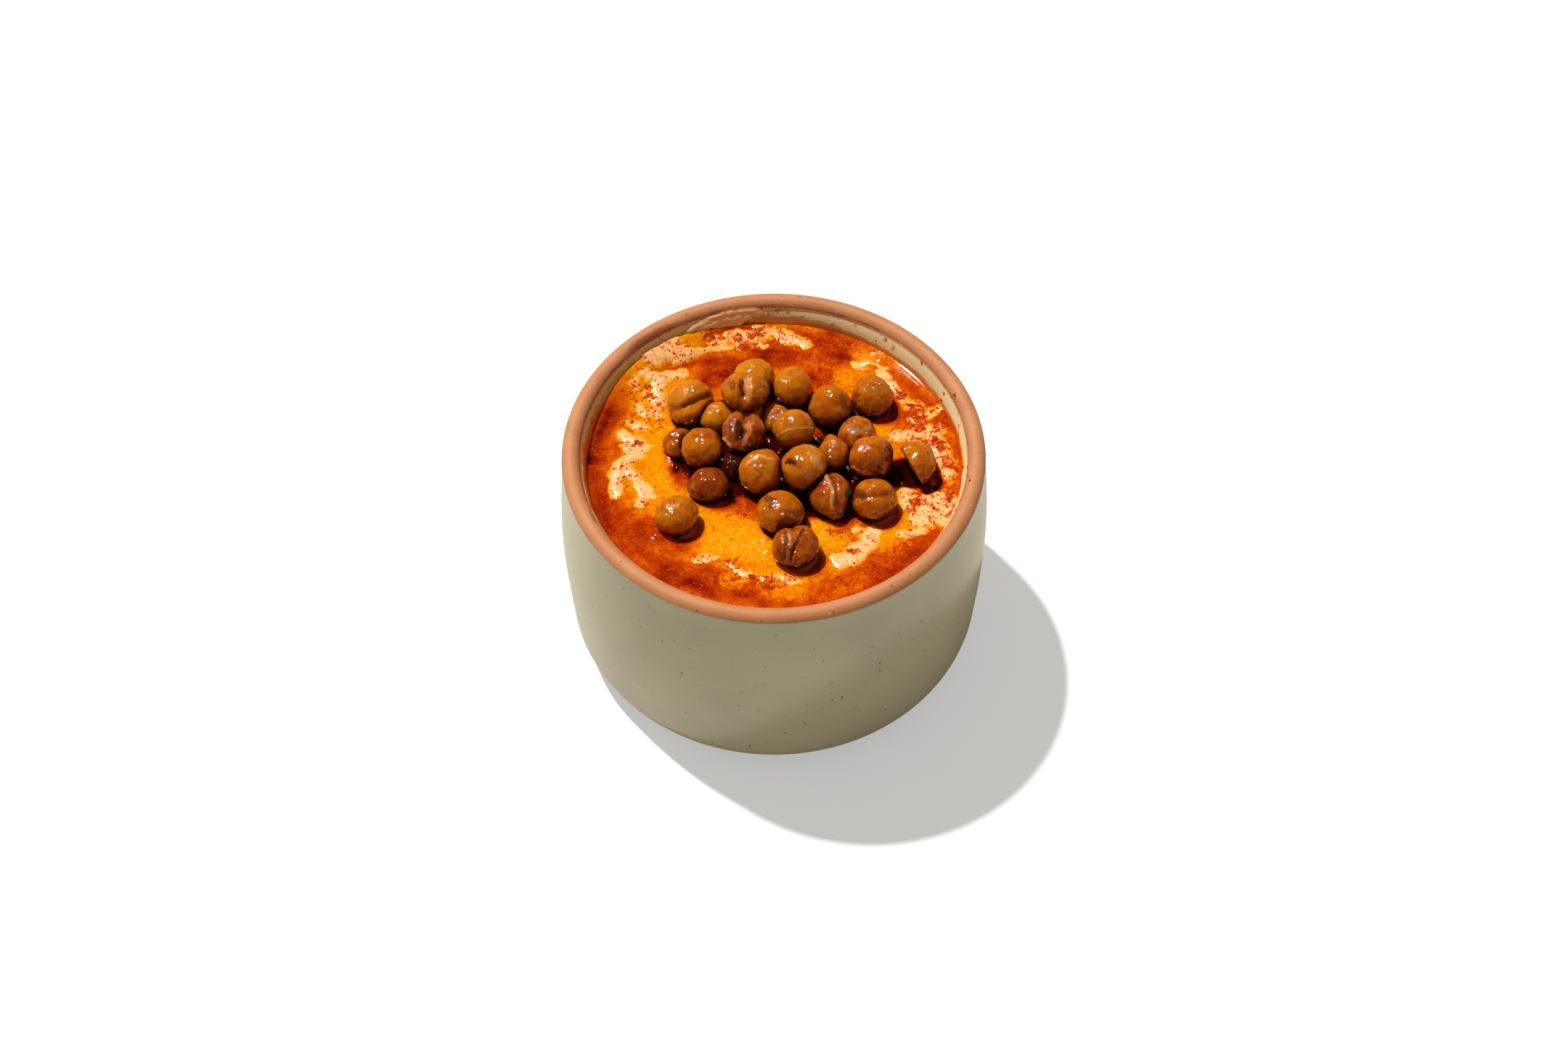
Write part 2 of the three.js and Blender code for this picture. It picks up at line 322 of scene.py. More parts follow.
def speck_group():
    """The specks as a group, for every material that has them."""
    group, given, wanted = new_group("round_specks", {"Cell": 1.0, "Share": 0.5, "Core": 0.2}, ["Mask"])
    group.links.new(speck_nodes(group, given["Cell"], given["Share"], given["Core"]), wanted["Mask"])
    return group


SPECKS = speck_group()


def place_specks(tree, cell, share, core):
    """The specks' mask in a material, from the group."""
    node = tree.nodes.new("ShaderNodeGroup")
    node.node_tree = SPECKS
    for name, value in {"Cell": cell, "Share": share, "Core": core}.items():
        node.inputs[name].default_value = value
    return node.outputs["Mask"]


def speckle(tree, colour, specks):
    """A colour with kinds of specks on it, each given as (colour, strength, cell, share, core)."""
    for shade, strength, cell, share, core in specks:
        mask = multiply(tree, place_specks(tree, cell, share, core), strength)
        colour = blend_colours(tree, mask, colour, shade)
    return colour


def new_material(name):
    """An empty material with its Principled shader and output."""
    material = bpy.data.materials.new(name)
    material.use_nodes = True
    tree = material.node_tree
    tree.nodes.clear()
    shader = tree.nodes.new("ShaderNodeBsdfPrincipled")
    output = tree.nodes.new("ShaderNodeOutputMaterial")
    tree.links.new(shader.outputs[0], output.inputs["Surface"])
    return material, tree, shader


def add_bump(tree, shader, height, distance):
    """Relief that rises by the distance, in millimetres, as the height goes from 0 to 1."""
    bump = add_node(tree, "Bump", {"Height": height, "Strength": 1.0, "Distance": distance * MM})
    tree.links.new(bump.outputs["Normal"], shader.inputs["Normal"])


# Distances from the lip's crown over which bare clay turns to glaze outside, glaze turns to bare clay
# inside, and the glaze inside loses its warm oil stain and its painted bounce light.
OUTER_EDGE, INNER_EDGE, INSIDE = (3.05, 3.25), (-3.35, -3.15), (-3.5, -3.0)
EDGE_SHADE = (0.16, 0.07, 0.04, 1)  # thin glaze, along the very edge
GLAZE = [(0.3, (0.385, 0.396, 0.285)), (0.7, (0.45, 0.457, 0.337))]
GLAZE_MOTTLE = (0.52, 0.43, 0.27, 1)
GLAZE_SPECKS = [  # rust, then iron
    ((0.30, 0.17, 0.07, 1), 0.45, 2.1, 0.16, 0.3), ((0.05, 0.035, 0.025, 1), 0.9, 2.4, 0.4, 0.18),
]
# The glaze inside is made brighter and warmer: a warm oil stain, and painted bounce light from the dip.
INSIDE_STAIN_AND_BOUNCE = (1.64, 1.33, 1.06, 1)  # what the glaze inside is multiplied by
FILM_COLOURS = [
    (0.0, (0.66, 0.50, 0.24)), (0.2, (0.58, 0.33, 0.10)), (0.5, (0.68, 0.150, 0.004)),
    (1.0, (0.44, 0.034, 0.001)),
]
BARE_CLAY = [(0.3, (0.42, 0.160, 0.056)), (0.7, (0.50, 0.205, 0.078))]
BARE_MOTTLE = (0.62, 0.31, 0.15, 1)
BARE_SPECKS = [  # dark dots, then pale grit
    ((0.16, 0.05, 0.025, 1), 0.75, 1.6, 0.45, 0.24), ((0.75, 0.45, 0.26, 1), 0.5, 1.9, 0.4, 0.2),
]
# Colour of the rim's stains, also used for painted shade on the rim's inner side at the back left.
STAIN_AND_SHADE_COLOUR = (0.24, 0.05, 0.012, 1)
SMEAR_SHADE = (0.84, 0.50, 0.24, 1)


def clay_material():
    """Sage glaze with iron specks, a bare terracotta lip and the oil's film on the wall inside."""
    material, tree, shader = new_material("clay")
    lip = read_mark(tree, "lip")
    film = read_mark(tree, "film")
    stain_and_shade = read_mark(tree, "stain_and_shade")
    dab = read_mark(tree, "dab")
    edge = add(tree, lip, multiply(tree, swinging_noise(tree, 2.5, 3.0), 0.5))
    outer = rescale(tree, edge, *OUTER_EDGE)
    inner = rescale(tree, edge, *INNER_EDGE, 1.0, 0.0)
    glazed = add(tree, outer, inner, clamp=True)

    glaze = colour_run(tree, noise_node(tree, 30.0, 3.0), GLAZE)
    glaze = blend_colours(tree, multiply(tree, noise_node(tree, 1.2, 4.0), 0.12), glaze, GLAZE_MOTTLE)
    glaze = speckle(tree, glaze, GLAZE_SPECKS)
    # Inside, the oil stain and the painted bounce light brighten and warm the glaze.
    inside = rescale(tree, lip, *INSIDE, 1.0, 0.0)
    glaze = blend_colours(tree, inside, glaze, blend_colours(tree, 1.0, glaze, INSIDE_STAIN_AND_BOUNCE, "MULTIPLY"))
    film_colour = colour_run(tree, film, FILM_COLOURS)
    glaze = blend_colours(tree, rescale(tree, film, 0.02, 0.16), glaze, film_colour)

    pits = noise_node(tree, 0.45, 4.0, 0.7)
    bare = colour_run(tree, noise_node(tree, 9.0, 4.0), BARE_CLAY)
    bare = blend_colours(tree, multiply(tree, rescale(tree, pits, 0.35, 0.65), 0.25), bare, BARE_MOTTLE)
    bare = speckle(tree, bare, BARE_SPECKS)

    colour = blend_colours(tree, glazed, bare, glaze)
    near_edge = multiply(tree, subtract(tree, 1.0, glazed), glazed)
    colour = blend_colours(tree, multiply(tree, near_edge, 3.2, clamp=True), colour, EDGE_SHADE)
    # Stains, and painted shade on the rim's inner side at the back left.
    colour = blend_colours(tree, stain_and_shade, colour, STAIN_AND_SHADE_COLOUR)
    colour = blend_colours(tree, rescale(tree, dab, 0.2, 0.45), colour, SMEAR_SHADE)
    tree.links.new(colour, shader.inputs["Base Color"])
    wet = multiply(tree, rescale(tree, film, 0.1, 0.4), -0.17)
    tree.links.new(add(tree, rescale(tree, glazed, 0.0, 1.0, 0.62, 0.24), wet), shader.inputs["Roughness"])
    add_bump(tree, shader, multiply(tree, pits, rescale(tree, glazed, 0.0, 1.0, 1.0, 0.12)), 0.08)
    return material


# Colours of the dip by how deep the oil stands over it: below 0 the dip stands out of the oil. The deepest
# # also serve as painted shade and painted shadow beside and between the chickpeas.
OIL_COLOURS = [
    (-1.0, (0.86, 0.47, 0.19)), (-0.3, (0.85, 0.44, 0.155)), (-0.08, (0.84, 0.38, 0.06)),
    (0.03, (0.78, 0.335, 0.006)), (0.10, (0.73, 0.285, 0.0006)), (0.35, (0.70, 0.215, 0.0006)),
    (0.7, (0.58, 0.105, 0.0005)), (1.1, (0.44, 0.047, 0.0004)), (1.6, (0.26, 0.013, 0.0004)),
    (2.1, (0.03, 0.001, 0.0003)),
]
OIL_START, OIL_END = -1.0, 2.1

# Paprika that has soaked in, from its yellow halo over the patch to the patch's dark heart.
HALO_SHADE = (0.84, 0.22, 0.006, 1)
PATCH_SHADE, HEART_SHADE = (0.58, 0.070, 0.001, 1), (0.30, 0.018, 0.0005, 1)
# Broad blots under it: where the noise starts and ends to show them, their strength and shade.
BLOTS = [(0.62, 0.71, 0.75, (0.80, 0.17, 0.004, 1)), (0.70, 0.76, 0.9, (0.50, 0.042, 0.001, 1))]
DUST_SPECKS, DUST_SHADE = (0.6, 0.8, 0.36), (0.16, 0.008, 0.001, 1)
# Painted shade with a pinkish painted reflection in it, in crescents beside some chickpeas.
CRESCENT_SHADE_COLOUR = (0.36, 0.13, 0.08, 1)


def oil_depth(tree, bank):
    """The oil's depth from the bank mark: ragged at its edge, and cloudy between thin and deep."""
    depth = subtract(tree, multiply(tree, swinging_noise(tree, 1.0, 4.0, 0.6), 0.9), bank)
    cloudy = multiply(tree, swinging_noise(tree, 0.3, 3.0, 0.6), rescale(tree, depth, -0.1, 0.9, 0.05, 1.1))
    return add(tree, depth, multiply(tree, cloudy, rescale(tree, depth, 1.3, 2.0, 1.0, 0.15)))


def lay_paprika(tree, colour, powder):
    """The dip's colour with soaked paprika and its dust on it, and a mask of where it has soaked in."""
    blots = add(tree, noise_node(tree, 2.0, 3.0, 0.55), multiply(tree, powder, 0.28))
    for start, end, strength, shade in BLOTS:
        share = rescale(tree, blots, start, end, 0.0, strength)
        colour = blend_colours(tree, share, colour, shade, "DARKEN")
    broad = multiply(tree, swinging_noise(tree, 3.2, 3.0, 0.6), 0.5)
    clumps = add(tree, add(tree, noise_node(tree, 1.15, 4.0, 0.66), broad), multiply(tree, powder, 0.23))
    soaked = rescale(tree, clumps, 0.665, 0.70)
    patch = blend_colours(tree, rescale(tree, clumps, 0.71, 0.83), PATCH_SHADE, HEART_SHADE)
    colour = blend_colours(tree, rescale(tree, clumps, 0.58, 0.69, 0.0, 0.6), colour, HALO_SHADE, "DARKEN")
    colour = blend_colours(tree, multiply(tree, soaked, 0.97), colour, patch, "DARKEN")
    dust = place_specks(tree, *DUST_SPECKS)
    dusted = multiply(tree, dust, rescale(tree, powder, 0.0, 0.6, 0.42, 0.95))
    return blend_colours(tree, dusted, colour, DUST_SHADE, "DARKEN"), soaked


def dip_material():
    """Pale dip where it stands out, the oil's colour by its depth, and paprika soaked into both."""
    material, tree, shader = new_material("dip_and_oil")
    depth = oil_depth(tree, read_mark(tree, "bank"))
    place = add_node(tree, "MapRange", {"Value": depth, "From Min": OIL_START, "From Max": OIL_END})
    span = OIL_END - OIL_START
    stops = [((stop - OIL_START) / span, shade) for stop, shade in OIL_COLOURS]
    colour = colour_run(tree, place.outputs[0], stops)
    colour, soaked = lay_paprika(tree, colour, read_mark(tree, "powder"))
    # Painted shade and reflection in crescents beside some chickpeas.
    colour = blend_colours(tree, read_mark(tree, "shadow_crescent"), colour, CRESCENT_SHADE_COLOUR)
    tree.links.new(colour, shader.inputs["Base Color"])
    oily = rescale(tree, depth, -0.12, 0.06)
    wetness = rescale(tree, soaked, 0.0, 1.0, 1.0, 0.35)
    rough = multiply(tree, rescale(tree, oily, 0.0, 1.0, 0.3, 0.08), wetness)
    tree.links.new(rough, shader.inputs["Roughness"])
    lumps = multiply(tree, swinging_noise(tree, 1.3, 3.0, 0.6), rescale(tree, oily, 0.0, 1.0, 1.0, 0.1))
    grains = multiply(tree, soaked, multiply(tree, subtract(tree, 1.0, oily), 0.3))
    add_bump(tree, shader, add(tree, lumps, grains), 0.14)
    shader.inputs["IOR"].default_value = 1.45
    return material


# A chickpea's skin, from soaked to rubbed pale, and what is laid over it; its darkest shades also serve as
# painted shade.
SKIN_SHADES = [
    (0.0, (0.03, 0.002, 0.0005)), (0.25, (0.23, 0.028, 0.0006)), (0.48, (0.41, 0.097, 0.001)),
    (0.68, (0.51, 0.157, 0.0015)), (0.95, (0.64, 0.255, 0.006)),
]
# The second colour is torn and rubbed skin, and also painted sheen on some chickpeas.
SKIN_MOTTLE, TORN_SKIN_AND_SHEEN = (0.24, 0.034, 0.001, 1), (0.72, 0.36, 0.12, 1)
GRIT_SPECKS, GRIT_SHADE = (1.1, 0.3, 0.26), (0.78, 0.24, 0.012, 1)
# Scorch, and painted shade in cracks and hollows.
SCORCH_AND_HOLLOW_SHADE_COLOUR = (0.05, 0.010, 0.003, 1)
GRIT_RISE, FOLD_DROP = 0.07, 0.5  # shares of the skin's relief


def pea_material():
    """Oily cooked skin: golden brown, paler where it's rubbed and with some painted sheen, darker where
    it's soaked or scorched and with painted shade.
    """
    material, tree, shader = new_material("chickpea_skin")
    tone_and_shade = read_mark(tree, "tone_and_shade")
    scorch_and_hollow_shade = read_mark(tree, "scorch_and_hollow_shade")
    pale = read_mark(tree, "pale")
    mottle = multiply(tree, noise_node(tree, 4.0, 3.0, 0.5), 0.65)
    cloud = add(tree, add(tree, mottle, 0.18), multiply(tree, tone_and_shade, 0.35))
    fine = rescale(tree, noise_node(tree, 1.3, 4.0, 0.6), 0.48, 0.7, 0.0, 0.4)
    skin = blend_colours(tree, fine, colour_run(tree, cloud, SKIN_SHADES), SKIN_MOTTLE)
    # Torn and rubbed skin, and painted sheen on some chickpeas.
    skin = blend_colours(tree, pale, skin, TORN_SKIN_AND_SHEEN)
    grit = place_specks(tree, *GRIT_SPECKS)
    skin = blend_colours(tree, multiply(tree, grit, 0.7), skin, GRIT_SHADE)
    # Scorch, and painted shade in cracks and hollows.
    skin = blend_colours(tree, scorch_and_hollow_shade, skin, SCORCH_AND_HOLLOW_SHADE_COLOUR)
    tree.links.new(skin, shader.inputs["Base Color"])
    dry = noise_node(tree, 3.4, 2.0, 0.5, 0.4)
    tree.links.new(rescale(tree, dry, 0.48, 0.66, 0.9, 0.34), shader.inputs["Roughness"])
    shader.inputs["Specular IOR Level"].default_value = 0.03
    shader.inputs["Subsurface Weight"].default_value = 0.5
    shader.inputs["Subsurface Radius"].default_value = (1.0, 0.35, 0.05)
    shader.inputs["Subsurface Scale"].default_value = 0.0018
    tree.links.new(rescale(tree, tone_and_shade, -2.0, -1.1, 0.1, 1.0), shader.inputs["Coat Weight"])
    shader.inputs["Coat Roughness"].default_value = 0.1
    shader.inputs["Coat IOR"].default_value = 1.7
    folds = multiply(tree, calculate(tree, "ABSOLUTE", swinging_noise(tree, 3.4, 0.5, 0.4, 0.6)), FOLD_DROP)
    add_bump(tree, shader, subtract(tree, multiply(tree, grit, GRIT_RISE), folds), 0.36)
    # The oil over the skin puckers too. Its grit has nodes of its own: no group feeds the coat's normal.
    oiled_grit = multiply(tree, speck_nodes(tree, *GRIT_SPECKS), GRIT_RISE)
    puckered = rescale(tree, noise_node(tree, 3.8, 1.0, 0.5, 0.3), 0.38, 0.58, 0.35, 1.0)
    puckers = multiply(tree, swinging_noise(tree, 1.3, 0.4, 0.45, 0.5), puckered)
    height = add(tree, subtract(tree, oiled_grit, folds), puckers)
    film = add_node(tree, "Bump", {"Height": height, "Distance": 0.78 * MM})
    tree.links.new(film.outputs["Normal"], shader.inputs["Coat Normal"])
    return material


def crumb_material(name, first, second, roughness, shine=0.08):
    """Flakes, crumbs and beads, each a shade between two colours by where it lies."""
    material, tree, shader = new_material(name)
    shade = rescale(tree, noise_node(tree, 1.3, 2.0), 0.35, 0.65)
    tree.links.new(blend_colours(tree, shade, (*first, 1), (*second, 1)), shader.inputs["Base Color"])
    tree.links.new(rescale(tree, shade, 0.0, 1.0, roughness, roughness + 0.15), shader.inputs["Roughness"])
    shader.inputs["Specular IOR Level"].default_value = shine
    add_bump(tree, shader, noise_node(tree, 0.2, 2.0), 0.05)
    return material


# ---------------------------------------------------------------- bowl

BOWL_AROUND = 400
CROWN_MARK = 0.5  # share of the rim's arc at which the lip's distances start


def arc(middle_radius, middle_height, across, up, start, end, count):
    """Part of an ellipse in the section, between two angles in degrees, with both ends."""
    angle = np.radians(np.linspace(start, end, count))
    return np.stack([middle_radius + across * np.cos(angle), middle_height + up * np.sin(angle)], axis=-1)


def bowl_section():
    """Radius and height along the clay: foot, heel, wall, over the rim and down the inside to the floor."""
    foot = np.stack([np.linspace(8, FOOT_RADIUS, 4), np.zeros(4)], axis=-1)
    heel = arc(FOOT_RADIUS, HEEL_HEIGHT, HEEL_RADIUS - FOOT_RADIUS, HEEL_HEIGHT, -90, 0, 22)[1:]
    rise = np.linspace(HEEL_HEIGHT, WALL_TOP, 46)[1:-1]
    wall = np.stack([wall_radius(rise), rise], axis=-1)
    rim = arc(RIM_RADIUS - RIM_WALL / 2, WALL_TOP, RIM_WALL / 2, RIM_ROUND, 0, 180, 41)
    shoulder = np.linspace(WALL_TOP, SHOULDER_FOOT, 28)[1:]
    fall = np.concatenate([shoulder, np.linspace(SHOULDER_FOOT, INNER_WALL_FOOT, 6)[1:]])
    inside = np.stack([inner_radius(fall), fall], axis=-1)
    corner_width = inner_radius(INNER_WALL_FOOT) - FLOOR_RADIUS
    corner = arc(FLOOR_RADIUS, INNER_WALL_FOOT, corner_width, INNER_CORNER, 0, -90, 8)[1:]
    return foot, heel, wall, rim, inside, corner


# Stains on the rim and the inner wall, and painted shade on the rim's inner side at the back left, round
# turns 124 to 146: turn in degrees, distance along the lip from its crown (inwards is negative), half sizes
# in degrees and millimetres, strength.
RIM_STAINS_AND_SHADE = [
    (133.0, -1.9, 9.0, 1.1, 0.75), (137.0, -0.9, 2.0, 0.5, 0.45), (124.0, -2.3, 4.0, 0.7, 0.6),
    (146.0, -2.6, 5.0, 0.6, 0.5), (206.5, -1.7, 3.0, 0.5, 0.7), (196.0, -2.7, 4.5, 0.5, 0.45),
    (188.0, -3.0, 3.0, 0.4, 0.4), (176.0, -3.1, 6.0, 0.3, 0.4), (108.0, -2.6, 3.0, 0.45, 0.5),
    (92.0, -2.7, 4.0, 0.35, 0.5), (70.0, -2.9, 4.0, 0.35, 0.4), (60.0, -2.9, 5.0, 0.3, 0.4),
    (20.0, -2.9, 6.0, 0.35, 0.4), (5.0, -3.0, 5.0, 0.3, 0.4), (-15.0, -2.6, 4.0, 0.3, 0.4),
]

# The oil's film on the wall: turn in degrees, how high it reaches above the oil and how deep its colour is.
FILM = np.array([
    (0, 3.0, 0.9), (15, 2.4, 0.7), (25, 1.9, 0.45), (45, 1.7, 0.42), (62, 2.2, 0.36), (82, 3.4, 0.34),
    (98, 3.3, 0.36), (110, 3.4, 0.30), (120, 4.4, 0.24), (135, 4.6, 0.20), (150, 4.2, 0.26),
    (163, 4.0, 0.50), (180, 4.2, 0.68), (205, 4.0, 0.70), (230, 3.4, 0.62), (270, 2.9, 0.5),
    (320, 2.9, 0.55), (345, 3.0, 0.95), (360, 3.0, 0.9),
])

# Drips of oil higher on the wall, as turn, height, half width and half height, and the smear of dip, whose
# strokes are a path of (turn, height) and its half width.
DRIPS = [
    (91.5, 65.5, 0.45, 0.8), (88.1, 66.7, 0.35, 0.5), (85.8, 66.0, 0.5, 0.6), (80.7, 65.1, 0.4, 0.6),
    (77, 66.3, 0.3, 0.3), (70.8, 64.6, 0.4, 0.8), (64, 66.2, 0.3, 0.4), (53.2, 66.0, 0.45, 0.5),
    (49.7, 65.0, 0.4, 0.9), (38.2, 66.3, 0.4, 0.5), (24.8, 65.9, 0.45, 0.5), (15, 66.2, 0.3, 0.4),
    (-4.1, 65.3, 0.4, 0.6), (100, 66.5, 0.4, 0.4), (103, 65.4, 0.3, 0.4),
]
SMEARS = [
    (((118, 65.2), (115, 65.7), (111.8, 66.3), (108.6, 66.6), (105.3, 66.8), (100, 66.8), (96.2, 66.7),
      (94.8, 66.1)), 0.9),
    (((114, 64.6), (108, 65.3), (103, 65.5), (98, 65.3)), 1.3),
    (((112, 63.4), (106, 63.8), (101, 63.6)), 1.2),
]
SMEAR_RISE = 0.6
DRIP_SHADE = 0.42  # as the film's shade
WALL_DEGREE = 0.86  # millimetres of wall to one degree of turn


def film_on_wall(turn, height):
    """The oil's film above its level: how deep its colour is, by the turn in degrees and the height.

    Its reach and depth run evenly between the places given in FILM, deepest at the oil; noise makes its
    upper edge ragged. Each drip is a bell in turn and height."""
    around = round_points(RIM_RADIUS, np.radians(turn), height)
    reach, depth = (np.interp(turn % 360, FILM[:, 0], FILM[:, column]) for column in (1, 2))
    left = 1 - (height - DIP_LEVEL) / (reach * (1 + 0.2 * layered_noise(around, 3, 4, 61)))
    shade = depth * (0.55 + 0.7 * np.clip(left, 0, 1)) * (1 + 0.35 * layered_noise(around, 1.6, 3, 65))
    film = smoothstep(left, -0.03, 0.1) * np.clip(shade + 0.4 * bell(height - DIP_LEVEL, 0.35), 0.1, 1)
    for middle, level, half_width, half_height in DRIPS:
        aside = turn_from(turn, middle) * WALL_DEGREE
        drop = bell(aside, half_width) * bell(height - level, half_height)
        ragged = drop + 0.15 * layered_noise(around, 0.8, 2, 67)
        film = np.maximum(film, DRIP_SHADE * smoothstep(ragged, 0.3, 0.6))
    return film


def smear_on_wall(turn, height):
    """The dip smeared on the wall: 1 on its paths and a parabola across each, broken up by noise."""
    aside = turn_from(turn, 0) * WALL_DEGREE
    ragged = layered_noise(np.stack([aside, height, 0 * aside], axis=-1), 1.4, 3, 69)
    dab = np.zeros_like(aside)
    for path, width in SMEARS:
        along = [(middle * WALL_DEGREE, level) for middle, level in path]
        dab = np.maximum(dab, 1 - (distance_along(aside, height, along) / width) ** 2 + 0.45 * ragged)
    return np.clip(dab, 0, 1)


UNEVEN_AT = 40  # radius at which the noise for the clay is read
UNEVEN_RISE, RING_RISE = 0.16, 0.03  # the wall's slow unevenness and its throwing rings
FILM_FROM = -3.2  # distance from the lip's crown at which the film may begin


def rim_stains_and_shade(lip, degrees, where):
    """How dark the rim's stains and its painted shade are: bells along and across the lip, with an edge
    broken up by noise.
    """
    stain_and_shade = np.zeros_like(lip)
    ragged = layered_noise(where, 3, 3, 75)
    for middle, place, half_turn, half_width, strength in RIM_STAINS_AND_SHADE:
        shape = bell(turn_from(degrees, middle), half_turn) * bell(lip - place, half_width)
        stain_and_shade = np.maximum(stain_and_shade, strength * smoothstep(shape + 0.3 * ragged, 0.15, 0.8))
    return stain_and_shade


def make_bowl(material):
    """Turns the section round the axis, with faint throwing rings and slow unevenness in the wall."""
    parts = bowl_section()
    section = np.concatenate(parts)
    steps = np.hypot(*np.diff(section, axis=0).T)
    along = np.concatenate([[0], np.cumsum(steps)])
    crown = sum(len(part) for part in parts[:3]) + int(CROWN_MARK * (len(parts[3]) - 1))
    lip = along[crown] - along  # positive on the outside
    turn = 2 * np.pi * np.arange(BOWL_AROUND) / BOWL_AROUND
    radius, angle = np.meshgrid(section[:, 0], turn, indexing="ij")
    height, lip = section[:, 1][:, None] + 0 * angle, lip[:, None] + 0 * angle
    outside = smoothstep(lip, 3.2, 8) * smoothstep(height, 2, 9)
    where = round_points(UNEVEN_AT, angle, height)
    rings = np.sin(height * 1.9 + 1.2 * np.sin(2 * angle))
    uneven = UNEVEN_RISE * layered_noise(where, 34, 2, 71) + RING_RISE * rings
    radius = radius * np.where(lip > 0, CLAY_TRUE, 1.0) + outside * (uneven - UNEVEN_RISE)
    degrees = np.degrees(angle)
    dab = np.where((lip < 0) & (height > DIP_LEVEL), smear_on_wall(degrees, height), 0.0)
    radius -= SMEAR_RISE * dab
    points = round_points(radius, angle, height).reshape(-1, 3)
    points = np.concatenate([[[0, 0, 0]], points, [[0, 0, FLOOR_THICKNESS]]])
    film = np.where(lip < FILM_FROM, film_on_wall(degrees, height), 0.0)
    marks = {"lip": lip, "film": film, "stain_and_shade": rim_stains_and_shade(lip, degrees, where), "dab": dab}
    marks = {name: np.concatenate([[0], np.ravel(values), [0]]) for name, values in marks.items()}
    quads, triangles = ring_faces(len(section), BOWL_AROUND)
    piece = make_piece("clay_bowl", points, quads, triangles, material, marks)
    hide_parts("bowl")


# ---------------------------------------------------------------- chickpeas

# The chickpeas, row by row from the back, placed as the solids are. lift is the height of the middle above
# the dip's level and size the mean radius. The beak points along turn and tilt, and roll leans the crease.
# cut is a broken face, as its direction and its distance from the middle.
PEAS = [
    dict(x=-21.9, y=17.6, lift=4, size=6.2, turn=30, tilt=0, roll=-45, crease=0.16, tall=1.02),
    dict(x=-5, y=27.1, lift=3.2, size=5.3, turn=170, tilt=10, roll=0),
    dict(x=-7.6, y=17.8, lift=8.4, size=5.3, turn=-90, tilt=5, roll=0, crease=0.2, wide=1.24),
    dict(x=5, y=23.1, lift=4, size=5.4, turn=-60, tilt=-15, roll=0, crease=0.02, tall=1.04),
    dict(x=14.9, y=16.6, lift=3.8, size=5.7, turn=-20, tilt=10, roll=-30, beak=0.05),
    dict(x=25.9, y=20.1, lift=3.4, size=5.5, turn=95, tilt=35, roll=0),
    dict(x=-14.9, y=13.2, lift=3.4, size=4.4, turn=200, tilt=0, roll=0, crease=0.02),
    dict(x=-6.5, y=15.2, lift=1.2, size=4.3, turn=10, tilt=0, roll=0, crease=0.02),
    dict(x=-7.9, y=4.7, lift=7.2, size=5.8, turn=-95, tilt=0, roll=8, crease=0.34),
    dict(x=0.8, y=13.4, lift=2, size=4, turn=120, tilt=30, roll=0),
    dict(x=5.3, y=6.3, lift=7.2, size=5.5, turn=180, tilt=0, roll=-40, crease=0.04, long=1),
    dict(x=-24.5, y=5.2, lift=2.2, size=4.2, turn=190, tilt=5, roll=20, crease=0.08),
    dict(x=-18.5, y=1.8, lift=4.6, size=5.6, turn=160, tilt=-10, roll=-20, crease=0.03),
    dict(x=-3.3, y=-6.4, lift=5.2, size=5.7, turn=60, tilt=20, roll=-30, crease=0.07),
    dict(x=7.9, y=-7.3, lift=8, size=6, turn=170, tilt=10, roll=10, crease=0.02, long=0.98, tall=1.05),
    dict(x=15.7, y=-0.3, lift=4.8, size=4.2, turn=104, tilt=30, roll=0, beak=0.24),
    dict(x=21.9, y=6.5, lift=3.2, size=5.3, turn=80, tilt=20, roll=-20, crease=0.08),
    dict(x=25.1, y=-2.8, lift=6.4, size=5.6, turn=20, tilt=0, roll=-60, crease=0.04, long=1.1),
    dict(x=36.3, y=-2.9, lift=3.6, size=5.9, turn=60, tilt=10, roll=0, cut=(-0.86, -0.4, -0.31, 1)),
    dict(x=-16.7, y=-8.8, lift=2.6, size=4.8, turn=190, tilt=0, roll=0, long=1.12),
    dict(x=-10.4, y=-1.8, lift=1.8, size=3.9, turn=90, tilt=0, roll=0),
    dict(x=-24.9, y=-19.2, lift=3.2, size=5.2, turn=15, tilt=0, roll=0, crease=0.02, long=1.08),
    dict(x=1.5, y=-18.7, lift=3.8, size=5.9, turn=-10, tilt=0, roll=30, crease=0.05),
    dict(x=14.4, y=-12.6, lift=3.6, size=5.6, turn=-74, tilt=-12, roll=20, beak=0.3, crease=0.1),
    dict(x=25.6, y=-14.4, lift=3.6, size=5.6, turn=0, tilt=5, roll=-30, crease=0.12),
    dict(x=5.5, y=-29.1, lift=3.4, size=5.5, turn=-82, tilt=0, roll=-5, crease=0.18, wide=1.14),
]
